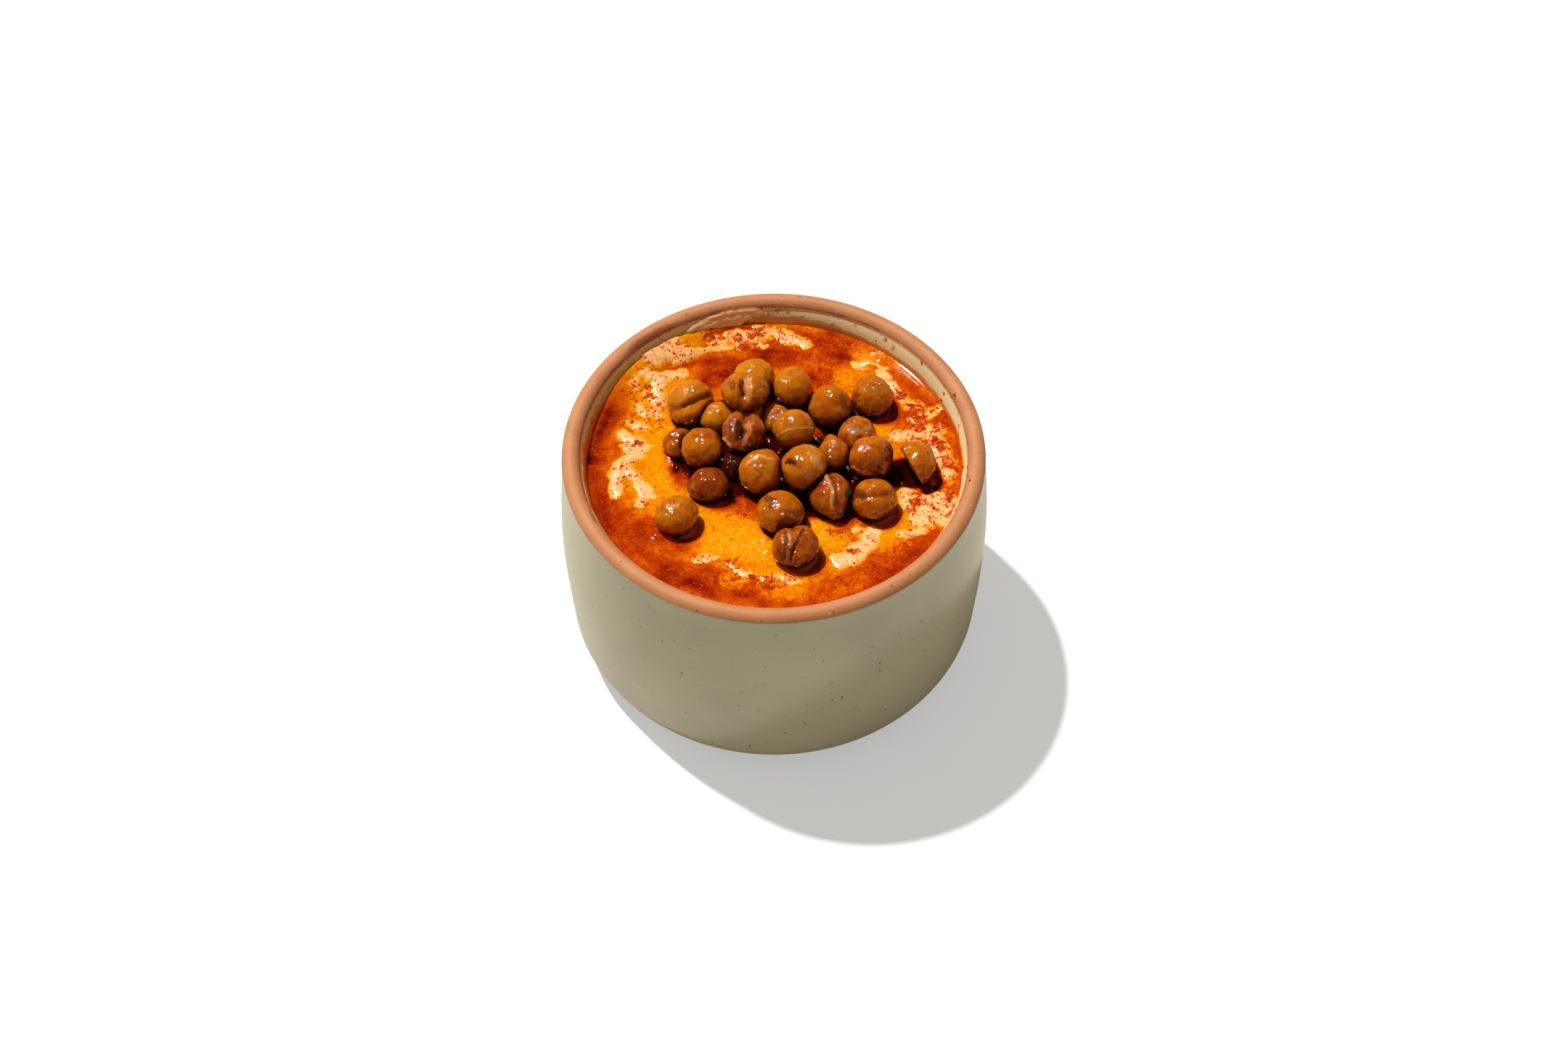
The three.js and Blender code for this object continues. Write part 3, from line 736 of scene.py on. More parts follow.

# What makes each chickpea its own. Its tone is how light or dark its skin is, and wrinkle how far its skin
# has shrivelled. Each of its marks follows a path of (across, up) points on the side that looks up and to
# the front, in radii: (path, half width, depth into the pea, scorch, pale), all but the path shares of the
# radius or of 1. The scorch is a dark patch, and painted shade where the mark is a crack or hollow; pale is
# torn or rubbed skin, and painted sheen on chickpeas 14, 15, 22 and 24.
PEA_LOOKS = {
    1: dict(tone_and_shade=0.6, wrinkle=0.5, marks=[
        (((-0.35, -0.2), (0.25, 0.1), (0.9, 0.4)), 0.1, 0.13, 0.55, 0),
        (((-0.7, -0.2), (-0.1, 0.55)), 0.2, 0.02, 0, 0.1)]),
    2: dict(tone_and_shade=0.7, wrinkle=0.4, marks=[
        (((0.6, 0.3), (0.75, -0.3)), 0.1, 0.03, 0.3, 0),
        (((-0.6, 0.1), (0.3, -0.1)), 0.06, 0.02, 0.15, 0.1)]),
    3: dict(tone_and_shade=0.1, wrinkle=1.0, marks=[
        (((-0.13, 0.6), (-0.17, 0.2), (-0.1, -0.3)), 0.12, 0.16, 0.95, 0),
        (((0.2, 0.55), (0.25, 0.1), (0.15, -0.4)), 0.16, 0.06, 0.1, 0.55),
        (((-0.57, 0.35), (-0.5, 0.2)), 0.15, 0.02, 0.5, 0),
        (((0.55, 0.5), (0.75, 0.1)), 0.06, 0.03, 0.3, 0.2)]),
    4: dict(tone_and_shade=0.5, wrinkle=0.25, marks=[(((0.1, -0.65), (0.45, -0.6)), 0.1, 0.03, 0.3, 0)]),
    5: dict(tone_and_shade=0.0, wrinkle=0.35, marks=[
        (((0.62, 0.35), (0.75, -0.1)), 0.24, 0.05, 0.55, 0),
        (((0.5, 0.5), (0.6, -0.3)), 0.05, 0.04, 0.3, 0.1)]),
    6: dict(tone_and_shade=0.0, wrinkle=1.1, marks=[(((-0.3, 0.5), (0.1, 0.3), (0.4, 0.45)), 0.2, 0.03, 0.25, 0.1)]),
    7: dict(tone_and_shade=0.85, wrinkle=0.2, marks=[]),
    8: dict(tone_and_shade=0.55, wrinkle=0.5, marks=[(((-0.5, 0.2), (0.4, 0.5)), 0.08, 0.03, 0.1, 0.2)]),
    9: dict(tone_and_shade=-0.5, wrinkle=1.3, marks=[
        (((-0.2, 0.5), (-0.1, 0.1), (-0.2, -0.35)), 0.22, 0.26, 0.95, 0),
        (((0.25, 0.55), (0.32, 0.1), (0.1, -0.45)), 0.1, -0.05, 0, 0.25),
        (((-0.95, -0.2), (-0.5, -0.6)), 0.07, -0.06, 0, 0.6),
        (((-0.55, 0.5), (-0.6, 0.0)), 0.12, 0.06, 0.5, 0)]),
    10: dict(tone_and_shade=0.1, wrinkle=1.2, marks=[(((-0.5, 0.2), (0.2, 0.5)), 0.1, 0.05, 0.3, 0.2)]),
    11: dict(tone_and_shade=0.35, wrinkle=0.3, marks=[
        (((-0.8, -0.4), (-0.27, -0.05), (0.95, -0.02)), 0.03, -0.03, 0, 0.75),
        (((-0.3, 0.0), (-0.15, 0.6)), 0.03, 0.02, 0.1, 0.3)]),
    12: dict(tone_and_shade=-0.1, wrinkle=1.1, marks=[(((-0.6, 0.3), (-0.1, -0.3)), 0.1, 0.07, 0.3, 0.15)]),
    13: dict(tone_and_shade=0.1, wrinkle=0.7, marks=[(((-0.6, -0.5), (-0.1, -0.65)), 0.14, 0.04, 0.3, 0.1)]),
    14: dict(tone_and_shade=0.3, wrinkle=0.6, marks=[
        (((-0.6, 0.35), (-0.1, 0.72), (0.5, 0.55)), 0.09, -0.04, 0, 0.55),
        (((-0.23, 0.0), (0.05, -0.2), (0.33, -0.46)), 0.03, 0.03, 0.4, 0.1),
        (((-0.5, 0.2), (0.3, 0.3)), 0.04, 0.03, 0.1, 0.3)]),
    15: dict(tone_and_shade=0.25, wrinkle=0.45, marks=[
        (((-0.68, 0.24), (-0.52, 0.2)), 0.17, 0.09, 1, 0),
        (((0.45, 0.35), (0.7, 0.05)), 0.24, 0.02, 0, 0.4)]),
    16: dict(tone_and_shade=0.05, wrinkle=0.8, marks=[(((-0.2, 0.6), (0.1, -0.5)), 0.1, 0.04, 0.2, 0.2)]),
    17: dict(tone_and_shade=0.0, wrinkle=1.3, marks=[
        (((-0.5, 0.5), (0.0, 0.35), (0.5, 0.5)), 0.18, 0.04, 0.2, 0.25)]),
    18: dict(tone_and_shade=-0.15, wrinkle=0.7, marks=[
        (((0.86, 0.42), (0.9, 0.55)), 0.17, 0.05, 1, 0),
        (((0.36, -0.53), (0.46, -0.53)), 0.11, 0.06, 1, 0),
        (((-0.83, -0.45), (-0.5, -0.72), (-0.1, -0.85)), 0.06, -0.04, 0, 0.35),
        (((0.2, 0.6), (0.5, 0.2)), 0.1, 0.05, 0.35, 0)]),
    19: dict(tone_and_shade=0.1, wrinkle=0.9, marks=[
        (((-0.84, 0.55), (-0.4, -0.2), (0.11, -0.95)), 0.08, -0.05, 0.05, 0.6)]),
    # Chickpeas 20 and 21 lie deep in the heap: their low tone is painted shade.
    20: dict(tone_and_shade=-0.7, wrinkle=0.3, marks=[]),
    21: dict(tone_and_shade=-1.7, wrinkle=0.6, marks=[]),
    22: dict(tone_and_shade=0.3, wrinkle=0.8, marks=[
        (((-0.4, 0.45), (0.1, 0.5)), 0.14, -0.02, 0, 0.45),
        (((0.3, 0.1), (0.5, -0.3)), 0.06, 0.03, 0.2, 0.15)]),
    23: dict(tone_and_shade=0.1, wrinkle=0.7, marks=[
        (((-0.55, 0.62), (-0.35, 0.4)), 0.24, 0.02, 0.65, 0),
        (((0.1, 0.0), (0.75, -0.1)), 0.1, 0.04, 0.25, 0.1)]),
    24: dict(tone_and_shade=-0.1, wrinkle=0.8, marks=[
        (((-0.15, 0.85), (0.1, 0.2), (0.05, -0.6)), 0.09, -0.06, 0, 0.6),
        (((0.3, 0.6), (0.4, -0.2)), 0.1, 0.05, 0.3, 0.1)]),
    25: dict(tone_and_shade=0.05, wrinkle=0.7, marks=[
        (((-0.84, 0.04), (0.0, 0.12), (0.79, 0.31)), 0.05, 0.04, 0.35, 0),
        (((-0.75, 0.3), (-0.6, 0.2)), 0.22, 0.03, 0.65, 0)]),
    26: dict(tone_and_shade=-0.35, wrinkle=1.0, marks=[
        (((-0.49, 0.75), (-0.45, 0.1), (-0.49, -0.6)), 0.07, 0.1, 0.7, 0),
        (((-0.22, -0.65), (0.0, 0.0), (0.36, 0.72)), 0.08, 0.12, 0.85, 0),
        (((-0.3, 0.6), (-0.2, 0.0)), 0.1, -0.02, 0.1, 0.35)]),
}

PEA_ROUND = dict(long=1.04, wide=1.0, tall=0.96)
PLAIN_BEAK, BEAK_SPREAD = 0.1, 0.07
PLAIN_CREASE, CREASE_SPREAD, CREASE_FOOT, CREASE_FULL = 0.05, 0.22, -0.2, 0.5
PEA_NEIGHBOURHOOD = 14.0  # chickpeas whose middles are closer may lean on each other
PEA_UNEVEN = 0.055  # slow unevenness of the plain skin, as a share of its radius
PEA_TOUCH = 0.08  # gap left where two chickpeas lean on each other
CONTACT_SHARPNESS = 14.0
PEA_FIT = 0.982  # keeps the skin's lumps inside the faceted solid's box
PEA_RINGS, PEA_AROUND = 70, 96
LUMP_RISE, WRINKLE_RISE = 0.08, 0.11  # of the skin's slow lumps and its wrinkles
NOOK_SHADE_WIDTH = 1.0  # how far from a neighbour the painted shade of the nook reaches
SHADED_UNDERSIDE = np.array([0.30, -0.25, -0.92])  # down into the oil and away from the light: the side that gets painted shade
SOAKED_AND_SHADE_TONE, UNDER_SHADE_TONE, NOOK_SHADE_TONE = 0.7, 1.0, 1.4  # how much darker each makes the skin: soaked skin with painted shade low in the oil, painted shade underneath, painted shade in the nooks
WRINKLE_TONE = 0.3  # how much paler the ridges of its wrinkles are than the folds
# The directions in which the marks' paths are given: across, up, and out of the side that they lie on.
LOOK_ACROSS = np.array([1.0, 0.0, 0.0])
LOOK_UP = np.array([0.0, 0.792, 0.610])
LOOK_OUT = np.array([0.0, -0.610, 0.792])


def pea_reach(direction, pea):
    """Distance from a chickpea's middle to its plain skin along directions in its own frame.

    An ellipsoid, a beak that swells exponentially towards +X, and a crease that is a bell across Y and
    fades in from the side to the top."""
    x, y, z = np.moveaxis(direction, -1, 0)
    long, wide, tall = (pea.get(key, PEA_ROUND[key]) for key in ("long", "wide", "tall"))
    body = 1 / np.sqrt((x / long) ** 2 + (y / wide) ** 2 + (z / tall) ** 2)
    beak = pea.get("beak", PLAIN_BEAK) * np.exp((x - 1) / BEAK_SPREAD)
    crease = pea.get("crease", PLAIN_CREASE) * bell(y, CREASE_SPREAD)
    return pea["size"] * (body + beak - crease * smoothstep(z, CREASE_FOOT, CREASE_FULL))


def pea_turn(pea):
    """Rotation matrix: roll about X, then tilt about Y, then turn about Z."""
    turn, tilt, roll = (np.radians(pea[key]) for key in ("turn", "tilt", "roll"))
    about_z = [[np.cos(turn), -np.sin(turn), 0], [np.sin(turn), np.cos(turn), 0], [0, 0, 1]]
    about_y = [[np.cos(tilt), 0, -np.sin(tilt)], [0, 1, 0], [np.sin(tilt), 0, np.cos(tilt)]]
    about_x = [[1, 0, 0], [0, np.cos(roll), np.sin(roll)], [0, -np.sin(roll), np.cos(roll)]]
    return np.array(about_z) @ np.array(about_y) @ np.array(about_x)


def pea_middle(pea):
    """Where the middle of a chickpea is."""
    return np.array([pea["x"], pea["y"], DIP_LEVEL + pea["lift"]])


def contact_flats(pea):
    """Direction and distance of each flat: where neighbours lean on the pea, and its broken face."""
    flats = []
    for other in PEAS:
        between = pea_middle(other) - pea_middle(pea)
        apart = np.linalg.norm(between)
        if other is not pea and apart < PEA_NEIGHBOURHOOD:
            normal = between / apart
            mine = pea_reach(normal @ pea_turn(pea), pea)
            theirs = pea_reach(-normal @ pea_turn(other), other)
            flats.append((normal, (apart + mine - theirs - PEA_TOUCH) / 2))
    if "cut" in pea:
        normal = np.array(pea["cut"][:3])
        flats.append((normal / np.linalg.norm(normal), pea["cut"][3]))
    return flats


def pea_grid():
    """Directions from a chickpea's middle: a pole opposite the beak, the rings after it, and the beak's."""
    ring = np.pi * (np.arange(PEA_RINGS) + 1) / (PEA_RINGS + 1)
    around = 2 * np.pi * np.arange(PEA_AROUND) / PEA_AROUND
    ring, around = np.meshgrid(ring, around, indexing="ij")
    own = np.stack([-np.cos(ring), np.sin(ring) * np.cos(around), np.sin(ring) * np.sin(around)], axis=-1)
    return np.concatenate([[[-1, 0, 0]], own.reshape(-1, 3), [[1, 0, 0]]])


def flattened_reach(own, world, number, pea):
    """Reach of the plain, slightly uneven skin, flattened where the chickpea touches others.

    Flats are taken in by a soft minimum: the sum of the reaches to the power -k, to the power -1/k."""
    uneven = layered_noise(own * 1.1 + number, 1, 2, 100 + number)
    reach = pea_reach(own, pea) * (1 + PEA_UNEVEN * uneven)
    total = reach**-CONTACT_SHARPNESS
    for normal, offset in contact_flats(pea):
        facing = np.maximum(world @ normal, 1e-3)
        total += (offset / facing) ** -CONTACT_SHARPNESS
    return total ** (-1 / CONTACT_SHARPNESS)


def nook_shade_share(points, pea):
    """Painted shade in nooks: exponential of the distance to the nearest other chickpea, as a ball; 1 at a
    touch.
    """
    nook = np.full(len(points), np.inf)
    for other in PEAS:
        if other is not pea:
            nook = np.minimum(nook, np.linalg.norm(points - pea_middle(other), axis=-1) - other["size"])
    return np.exp(-np.maximum(nook, 0) / NOOK_SHADE_WIDTH)


def make_pea(number, pea, material):
    """The flattened skin of a chickpea with its lumps, wrinkles and marks, and its tone with painted shade
    in it.

    Wrinkles are ridged noise: one less twice its absolute value. Each mark is a bell across its path."""
    looks = PEA_LOOKS[number]
    own = pea_grid()
    world = own @ pea_turn(pea).T
    size, wrinkle = pea["size"], looks["wrinkle"]
    reach = flattened_reach(own, world, number, pea)
    spot = own * size + 31 * number
    bent = spot + 0.5 * layered_noise(spot, 2, 2, 7)[:, None]
    ridges = 1 - np.abs(layered_noise(bent, 2.8, 2, 9)) * 2
    lumps = LUMP_RISE * layered_noise(spot, 3.4, 2, 3)
    reach += lumps * (0.6 + 0.6 * wrinkle) + WRINKLE_RISE * wrinkle * (ridges - 0.5)
    across, up, out = world @ LOOK_ACROSS, world @ LOOK_UP, world @ LOOK_OUT
    seen = smoothstep(out, -0.1, 0.25)
    wobble = 0.06 * layered_noise(own, 0.5, 3, 200 + number)
    scorch_and_hollow_shade, pale = np.zeros(len(own)), np.zeros(len(own))
    # Each mark digs in and lays scorch, with painted shade in cracks and hollows, and paleness, with
    # painted sheen on some.
    for path, half_width, depth, dark, light in looks["marks"]:
        near = seen * bell(distance_along(across + wobble, up + wobble, path), half_width)
        reach -= size * depth * near
        ragged = smoothstep(near + 0.25 * layered_noise(spot, 1.2, 3, 5), 0.2, 0.65)
        scorch_and_hollow_shade, pale = np.maximum(scorch_and_hollow_shade, dark * ragged), np.maximum(pale, light * ragged)
    points = world * (reach * PEA_FIT)[:, None] + pea_middle(pea)
    # Darker low in the oil (soaked skin, with painted shade), on the side away from the light and next to
    # other chickpeas (painted shade).
    soaked = SOAKED_AND_SHADE_TONE * smoothstep(DIP_LEVEL + 0.75 * size - points[:, 2], -1.5, 4.5)
    under = UNDER_SHADE_TONE * smoothstep(world @ SHADED_UNDERSIDE, -0.25, 0.8)
    wrinkled = WRINKLE_TONE * (ridges - 0.5) * wrinkle
    tone_and_shade = looks["tone_and_shade"] - soaked - under - NOOK_SHADE_TONE * nook_shade_share(points, pea) + wrinkled
    quads, triangles = ring_faces(PEA_RINGS, PEA_AROUND)
    marks = {"tone_and_shade": tone_and_shade, "scorch_and_hollow_shade": scorch_and_hollow_shade, "pale": pale}
    piece = make_piece(f"cooked_pea_{number:02d}", points, quads, triangles, material, marks)
    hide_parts(f"chickpea_{number:02d}")


# ---------------------------------------------------------------- dip and oil

# Banks that the spoon has pushed up out of the oil, as on the solid: turn and half length in degrees,
# distance from the middle, half width and rise.
BANKS = [
    (101, 30, 45, 4, 1.6), (132, 14, 43.5, 6, 1.2), (141, 10, 39.5, 4.5, 1), (165, 13, 37, 3.5, 1.1),
    (187, 12, 39.5, 3.5, 1.2), (-99, 24, 36.5, 2.5, 0.7), (-52, 14, 35.5, 5, 1.1), (-6, 24, 43, 6, 1.3),
    (41, 10, 42, 3.5, 0.9),
]

# Where the pale dip stands out of the oil: a path, its half width there and how far it stands out.
CREAM = [
    (((-33, 37.5), (-28, 38.5), (-24.5, 38.5)), 3.6, 1.0), (((-29, 42), (-26, 43)), 2.0, 0.8),
    (((-25, 37), (-20, 39.3)), 1.5, 0.7), (((-21, 39), (-15, 40.3), (-9, 41)), 0.9, 0.5),
    (((-35.5, 32.3), (-33, 30.3), (-30, 29)), 2.1, 0.85), (((-29.5, 30.6), (-24.5, 31.4)), 1.5, 0.7),
    (((-31, 27.5), (-30.3, 22)), 1.8, 0.75), (((-37, 29), (-36.5, 26)), 1.0, 0.5),
    (((-34, 25), (-33, 22)), 0.9, 0.45), (((-35.5, 20), (-33.5, 17)), 1.3, 0.6),
    (((-32, 22), (-30.5, 17)), 1.3, 0.6), (((-37.5, 14.5), (-34, 12)), 1.3, 0.6),
    (((-39.5, 10), (-36.5, 8), (-34.5, 6)), 1.9, 0.8), (((-38, 6), (-36, 3)), 1.9, 0.8),
    (((-36.5, 3), (-40, 0), (-41, -4), (-40.5, -9)), 2.0, 1.0),
    (((-38, -2), (-35.3, -5), (-33.2, -9), (-34, -12)), 1.8, 0.95),
    (((-33, -10), (-31, -10.5)), 0.9, 0.6), (((-36, 4), (-34, 5.5)), 0.9, 0.5),
    (((-15.5, 43), (-10, 44.4), (-5, 44.3), (-2, 45.5)), 1.9, 0.65),
    (((-4, 47), (1, 46), (5, 43.5), (8.5, 41.8)), 1.7, 0.8), (((-9, 42.2), (-3, 41)), 1.1, 0.5),
    (((22, 35), (24, 33.4)), 1.1, 0.6), (((24.5, 35.2), (27.5, 34.6), (30, 32.5)), 0.6, 0.5),
    (((28.5, 31.5), (30.5, 28.5), (32, 26.5)), 1.4, 0.75), (((32, 26.2), (34.3, 23)), 1.3, 0.65),
    (((35, 20.5), (38.5, 19.5)), 1.6, 0.55), (((40, 17), (43.5, 19)), 1.3, 0.55),
    (((36, 15.5), (39, 14.5)), 1.0, 0.45),
    (((32, 9.8), (36, 9.3), (40, 10.5), (44, 12), (46, 15)), 1.9, 0.8),
    (((37, 11.8), (41, 12.2)), 1.5, 0.7), (((42.5, 8.5), (44, 4), (45.5, 0), (46.5, -4)), 3.0, 0.75),
    (((42.5, -4), (41, -8)), 2.2, 0.8), (((35.5, -9), (36, -12), (44, -12)), 3.8, 1.0),
    (((37, -17), (43, -17.5)), 3.4, 0.9), (((33, -22.6), (38, -21.6)), 1.3, 0.8),
    (((46, -10), (45.5, -14)), 2.0, 0.8), (((34, -14), (33.5, -11)), 1.4, 0.6),
    (((25.2, -22), (23.6, -27.3), (19.5, -30.5), (16.5, -31.2)), 2.3, 1.1),
    (((22, -25.5), (19.5, -28)), 1.6, 0.7), (((22, -21), (20.3, -22)), 0.8, 0.45),
    (((-19.5, -31), (-14.5, -30)), 0.95, 0.7), (((-18, -29.6), (-16, -29.8)), 0.6, 0.5),
    (((-11.5, -32), (-9, -34.6), (-6, -35.6)), 0.95, 0.75),
    (((-2.5, -36.5), (2, -36.5), (6, -38)), 0.95, 0.7),
]

# Pockets of oil in the pale dip: middle and size.
CREAM_HOLES = [
    ((-22, 44), 3.2), ((-36.5, 34), 2.0), ((48.6, -5), 1.9), ((48.9, -1), 1.9), ((48.8, 3), 1.9),
    ((48.3, 7), 1.9), ((47.3, 11), 1.9), ((45.8, 15), 1.9), ((47.9, -9), 1.7),
]

# How deep the oil stands elsewhere: middle, half widths, turn in degrees, depth there and its hold.
POOLS = [
    ((-36.5, 34.5), (3.5, 2.5), 40, 0.12, 1.0), ((-39, 27), (3, 5), -20, 0.3, 0.9),
    ((-42.5, 24), (2.5, 5), -25, 0.6, 0.9), ((-22, 44), (3.3, 3), 0, 0.2, 1.2),
    ((-13, 38), (7, 1.3), 3, 0.15, 1.0), ((-29, 14), (2.5, 4), 0, 0.12, 0.9),
    ((-31, 4), (3.5, 6), 0, 0.16, 1.0), ((-34, 23), (3, 4), 0, 0.25, 0.8),
    ((-37, 21), (3, 3), 0, 0.4, 0.8), ((-31, -5), (4, 3.5), 0, 0.2, 0.9),
    ((-22, -11.5), (5, 2.5), -20, 0.3, 0.8), ((-36, 0), (2, 2), 0, 0.45, 0.6),
    ((-10, -22), (12, 7), -35, 0.08, 1.3), ((-17, -17), (5, 5), 0, 0.12, 0.9),
    ((-4, -28), (4, 5), 0, 0.1, 0.9), ((-9, -29), (6, 3), 0, 0.15, 0.8),
    ((12.5, -23), (3.5, 3), 0, 0.1, 1.1), ((29, 14.5), (2.5, 3), 0, 0.06, 1.1),
    ((31, -20), (2.8, 4), -20, 0.12, 1.0), ((28, -25), (2.5, 3), 0, 0.3, 0.8),
    ((33, -26), (5, 2.5), 20, 0.6, 0.9), ((12, -35.5), (6, 3), 0, 0.4, 0.9),
    ((3, -41.5), (6, 2.3), 0, 0.3, 0.9), ((-11, -38.5), (5, 1.6), -5, 0.25, 0.9),
    ((24.5, 38), (3, 2.2), -20, 0.25, 0.9), ((17, 30), (2.5, 2.6), 0, 0.35, 0.8),
    ((-28, -16), (3, 6), 0, 0.4, 0.7), ((2, 48.6), (8, 1.3), -6, 0.5, 0.9),
    ((-34, -14), (3, 3), 0, 0.5, 0.8), ((-41, 17), (3, 9), -8, 0.85, 0.9),
    ((-46.5, 2), (3.5, 20), 0, 1.6, 1.3), ((-43, 5), (2.5, 9), 0, 1.05, 0.9),
    ((-43, -18), (4, 9), 25, 1.15, 0.9), ((-37, -24), (5, 6), 0, 1.35, 0.9),
    ((-29, -26), (6, 5), 0, 0.95, 0.8), ((-27, -35), (8, 4), -35, 1.45, 1.0),
    ((-19, -36.5), (6, 3.2), -15, 1.45, 1.0), ((-12, -31.8), (10, 1.2), -8, 0.7, 0.7),
    ((-9, -43), (8, 2), 0, 1.15, 0.9), ((-3, -38.5), (6, 1.4), 0, 0.9, 0.7),
    ((4, -45), (10, 1.2), 0, 1.3, 0.8), ((18, -38), (8, 4), 12, 0.95, 0.9),
    ((31, -33), (10, 4.5), 42, 1.25, 1.0), ((40, -26), (4, 4), 0, 1.0, 0.9),
    ((48, -3), (1.7, 14), 0, 1.3, 1.2), ((46, 16), (2.2, 9), 10, 1.15, 0.9),
    ((38, 24), (5, 4), -55, 0.9, 0.9), ((34, 17), (4, 4), 0, 1.0, 0.7),
    ((37, 30), (8, 2.5), -52, 0.75, 0.9), ((29, 38), (8, 2.5), -40, 0.6, 0.9),
    ((15, 41), (7, 4), -12, 1.45, 1.0), ((13, 31), (3.2, 4), 0, 1.4, 1.0),
    ((3, 38), (7, 3), 0, 1.45, 0.9), ((-6, 38.5), (4, 2), 0, 1.1, 0.9),
    ((-15, 33.5), (6, 5), 0, 1.5, 1.1), ((-7, -13.5), (4, 4.5), 0, 1.25, 1.1),
    ((12, 12), (4, 4), 0, 1.2, 1.1), ((-24, -3), (2.5, 4), 15, 1.5, 1.0),
    ((8, 39), (6, 2), -25, 0.9, 0.7), ((20, 46), (7, 1.6), -22, 0.8, 0.8),
    ((-8, 48), (10, 1.6), 0, 1.3, 0.9), ((-12, 42), (5, 1), 0, 1.0, 0.5),
    ((18, -19), (3, 2), 0, 1.0, 0.8),
]

DIP_GRID = 303
MENISCUS_RISE, MENISCUS_SPREAD = 0.45, 0.7
SHADOW_NEAR, SHADOW_FAR, SHADOW_FAR_GAP = (1.3, -1.1), (2.7, -2.3), 0.4  # steps away from the sun, where the chickpeas' painted shadow lies
POOL_AND_SHADOW_DEPTH, POOL_AND_SHADOW_SPREAD = 1.3, 0.9  # oil gathered at the foot of each chickpea, and its painted shadow
CROWD_SHADE_DEPTH = 2.9  # painted shade: deep, dark oil between chickpeas that stand close
CROWD_FROM, CROWD_SPREAD = 0.8, 3.0  # distances count from this share of a chickpea's size
EDGE_SHAKE = 1.0  # how far noise moves the edges of the pale dip and of the pools
HOLE_DEPTH = 1.8  # of the pockets in the pale dip
PLAIN_DEPTH, WALL_DEPTH, PLAIN_HOLD = 0.5, 0.6, 0.12  # the oil away from the pools, deeper near the wall
POOL_HOLD, POOL_FALL = 3, 1.2  # weight of a pool in its middle, and how fast it falls away
# Painted shade, with a pinkish painted reflection in it, in crescents beside chickpeas: number, turn in
# degrees and strength.
SHADOW_CRESCENTS = [(22, -25, 0.75), (25, -30, 0.6), (26, -30, 0.75), (13, 100, 0.2)]
RED_NOOK = (11.5, 12.0, 3.2)  # a nook between chickpeas where the painted shade is left out and the oil stays red: middle and size
SLOPE_LEAN = 0.77  # how far marks lie further to the front for each millimetre that the dip is piled up
CREAM_STAND = 0.1  # how far the pale dip stands out at its own middle, above the bank
BANK_SHARE = 0.35  # of the solid's banks, what is kept here
DENT_SHARE, DENT_OVERLAP = 0.92, 0.25


def cream_strokes(x, y):
    """How far the pale dip stands out: the highest of its strokes, less a bell at each pocket of oil.

    Each stroke is a parabola across its path."""
    cream = np.full(x.shape, -9.0)
    for path, half_width, stand in CREAM:
        cream = np.maximum(cream, (1 - (distance_along(x, y, path) / half_width) ** 2) * stand)
    for (cx, cy), size in CREAM_HOLES:
        cream -= HOLE_DEPTH * bell(np.hypot(x - cx, y - cy), size)
    return cream


def pool_depth(x, y, radius):
    """The oil's depth: the mean of its plain depth and of the pools, weighted by bells round them."""
    hold = np.full(x.shape, PLAIN_HOLD)
    depth = hold * (PLAIN_DEPTH + WALL_DEPTH * smoothstep(radius, 39, 48))
    for middle, (half_length, half_width), turn, value, strength in POOLS:
        along, aside = along_and_aside(x, y, middle, turn)
        along, aside = along / half_length, aside / half_width
        weight = POOL_HOLD * strength * np.exp(-POOL_FALL * (along * along + aside * aside))
        depth, hold = depth + weight * value, hold + weight
    return depth / hold


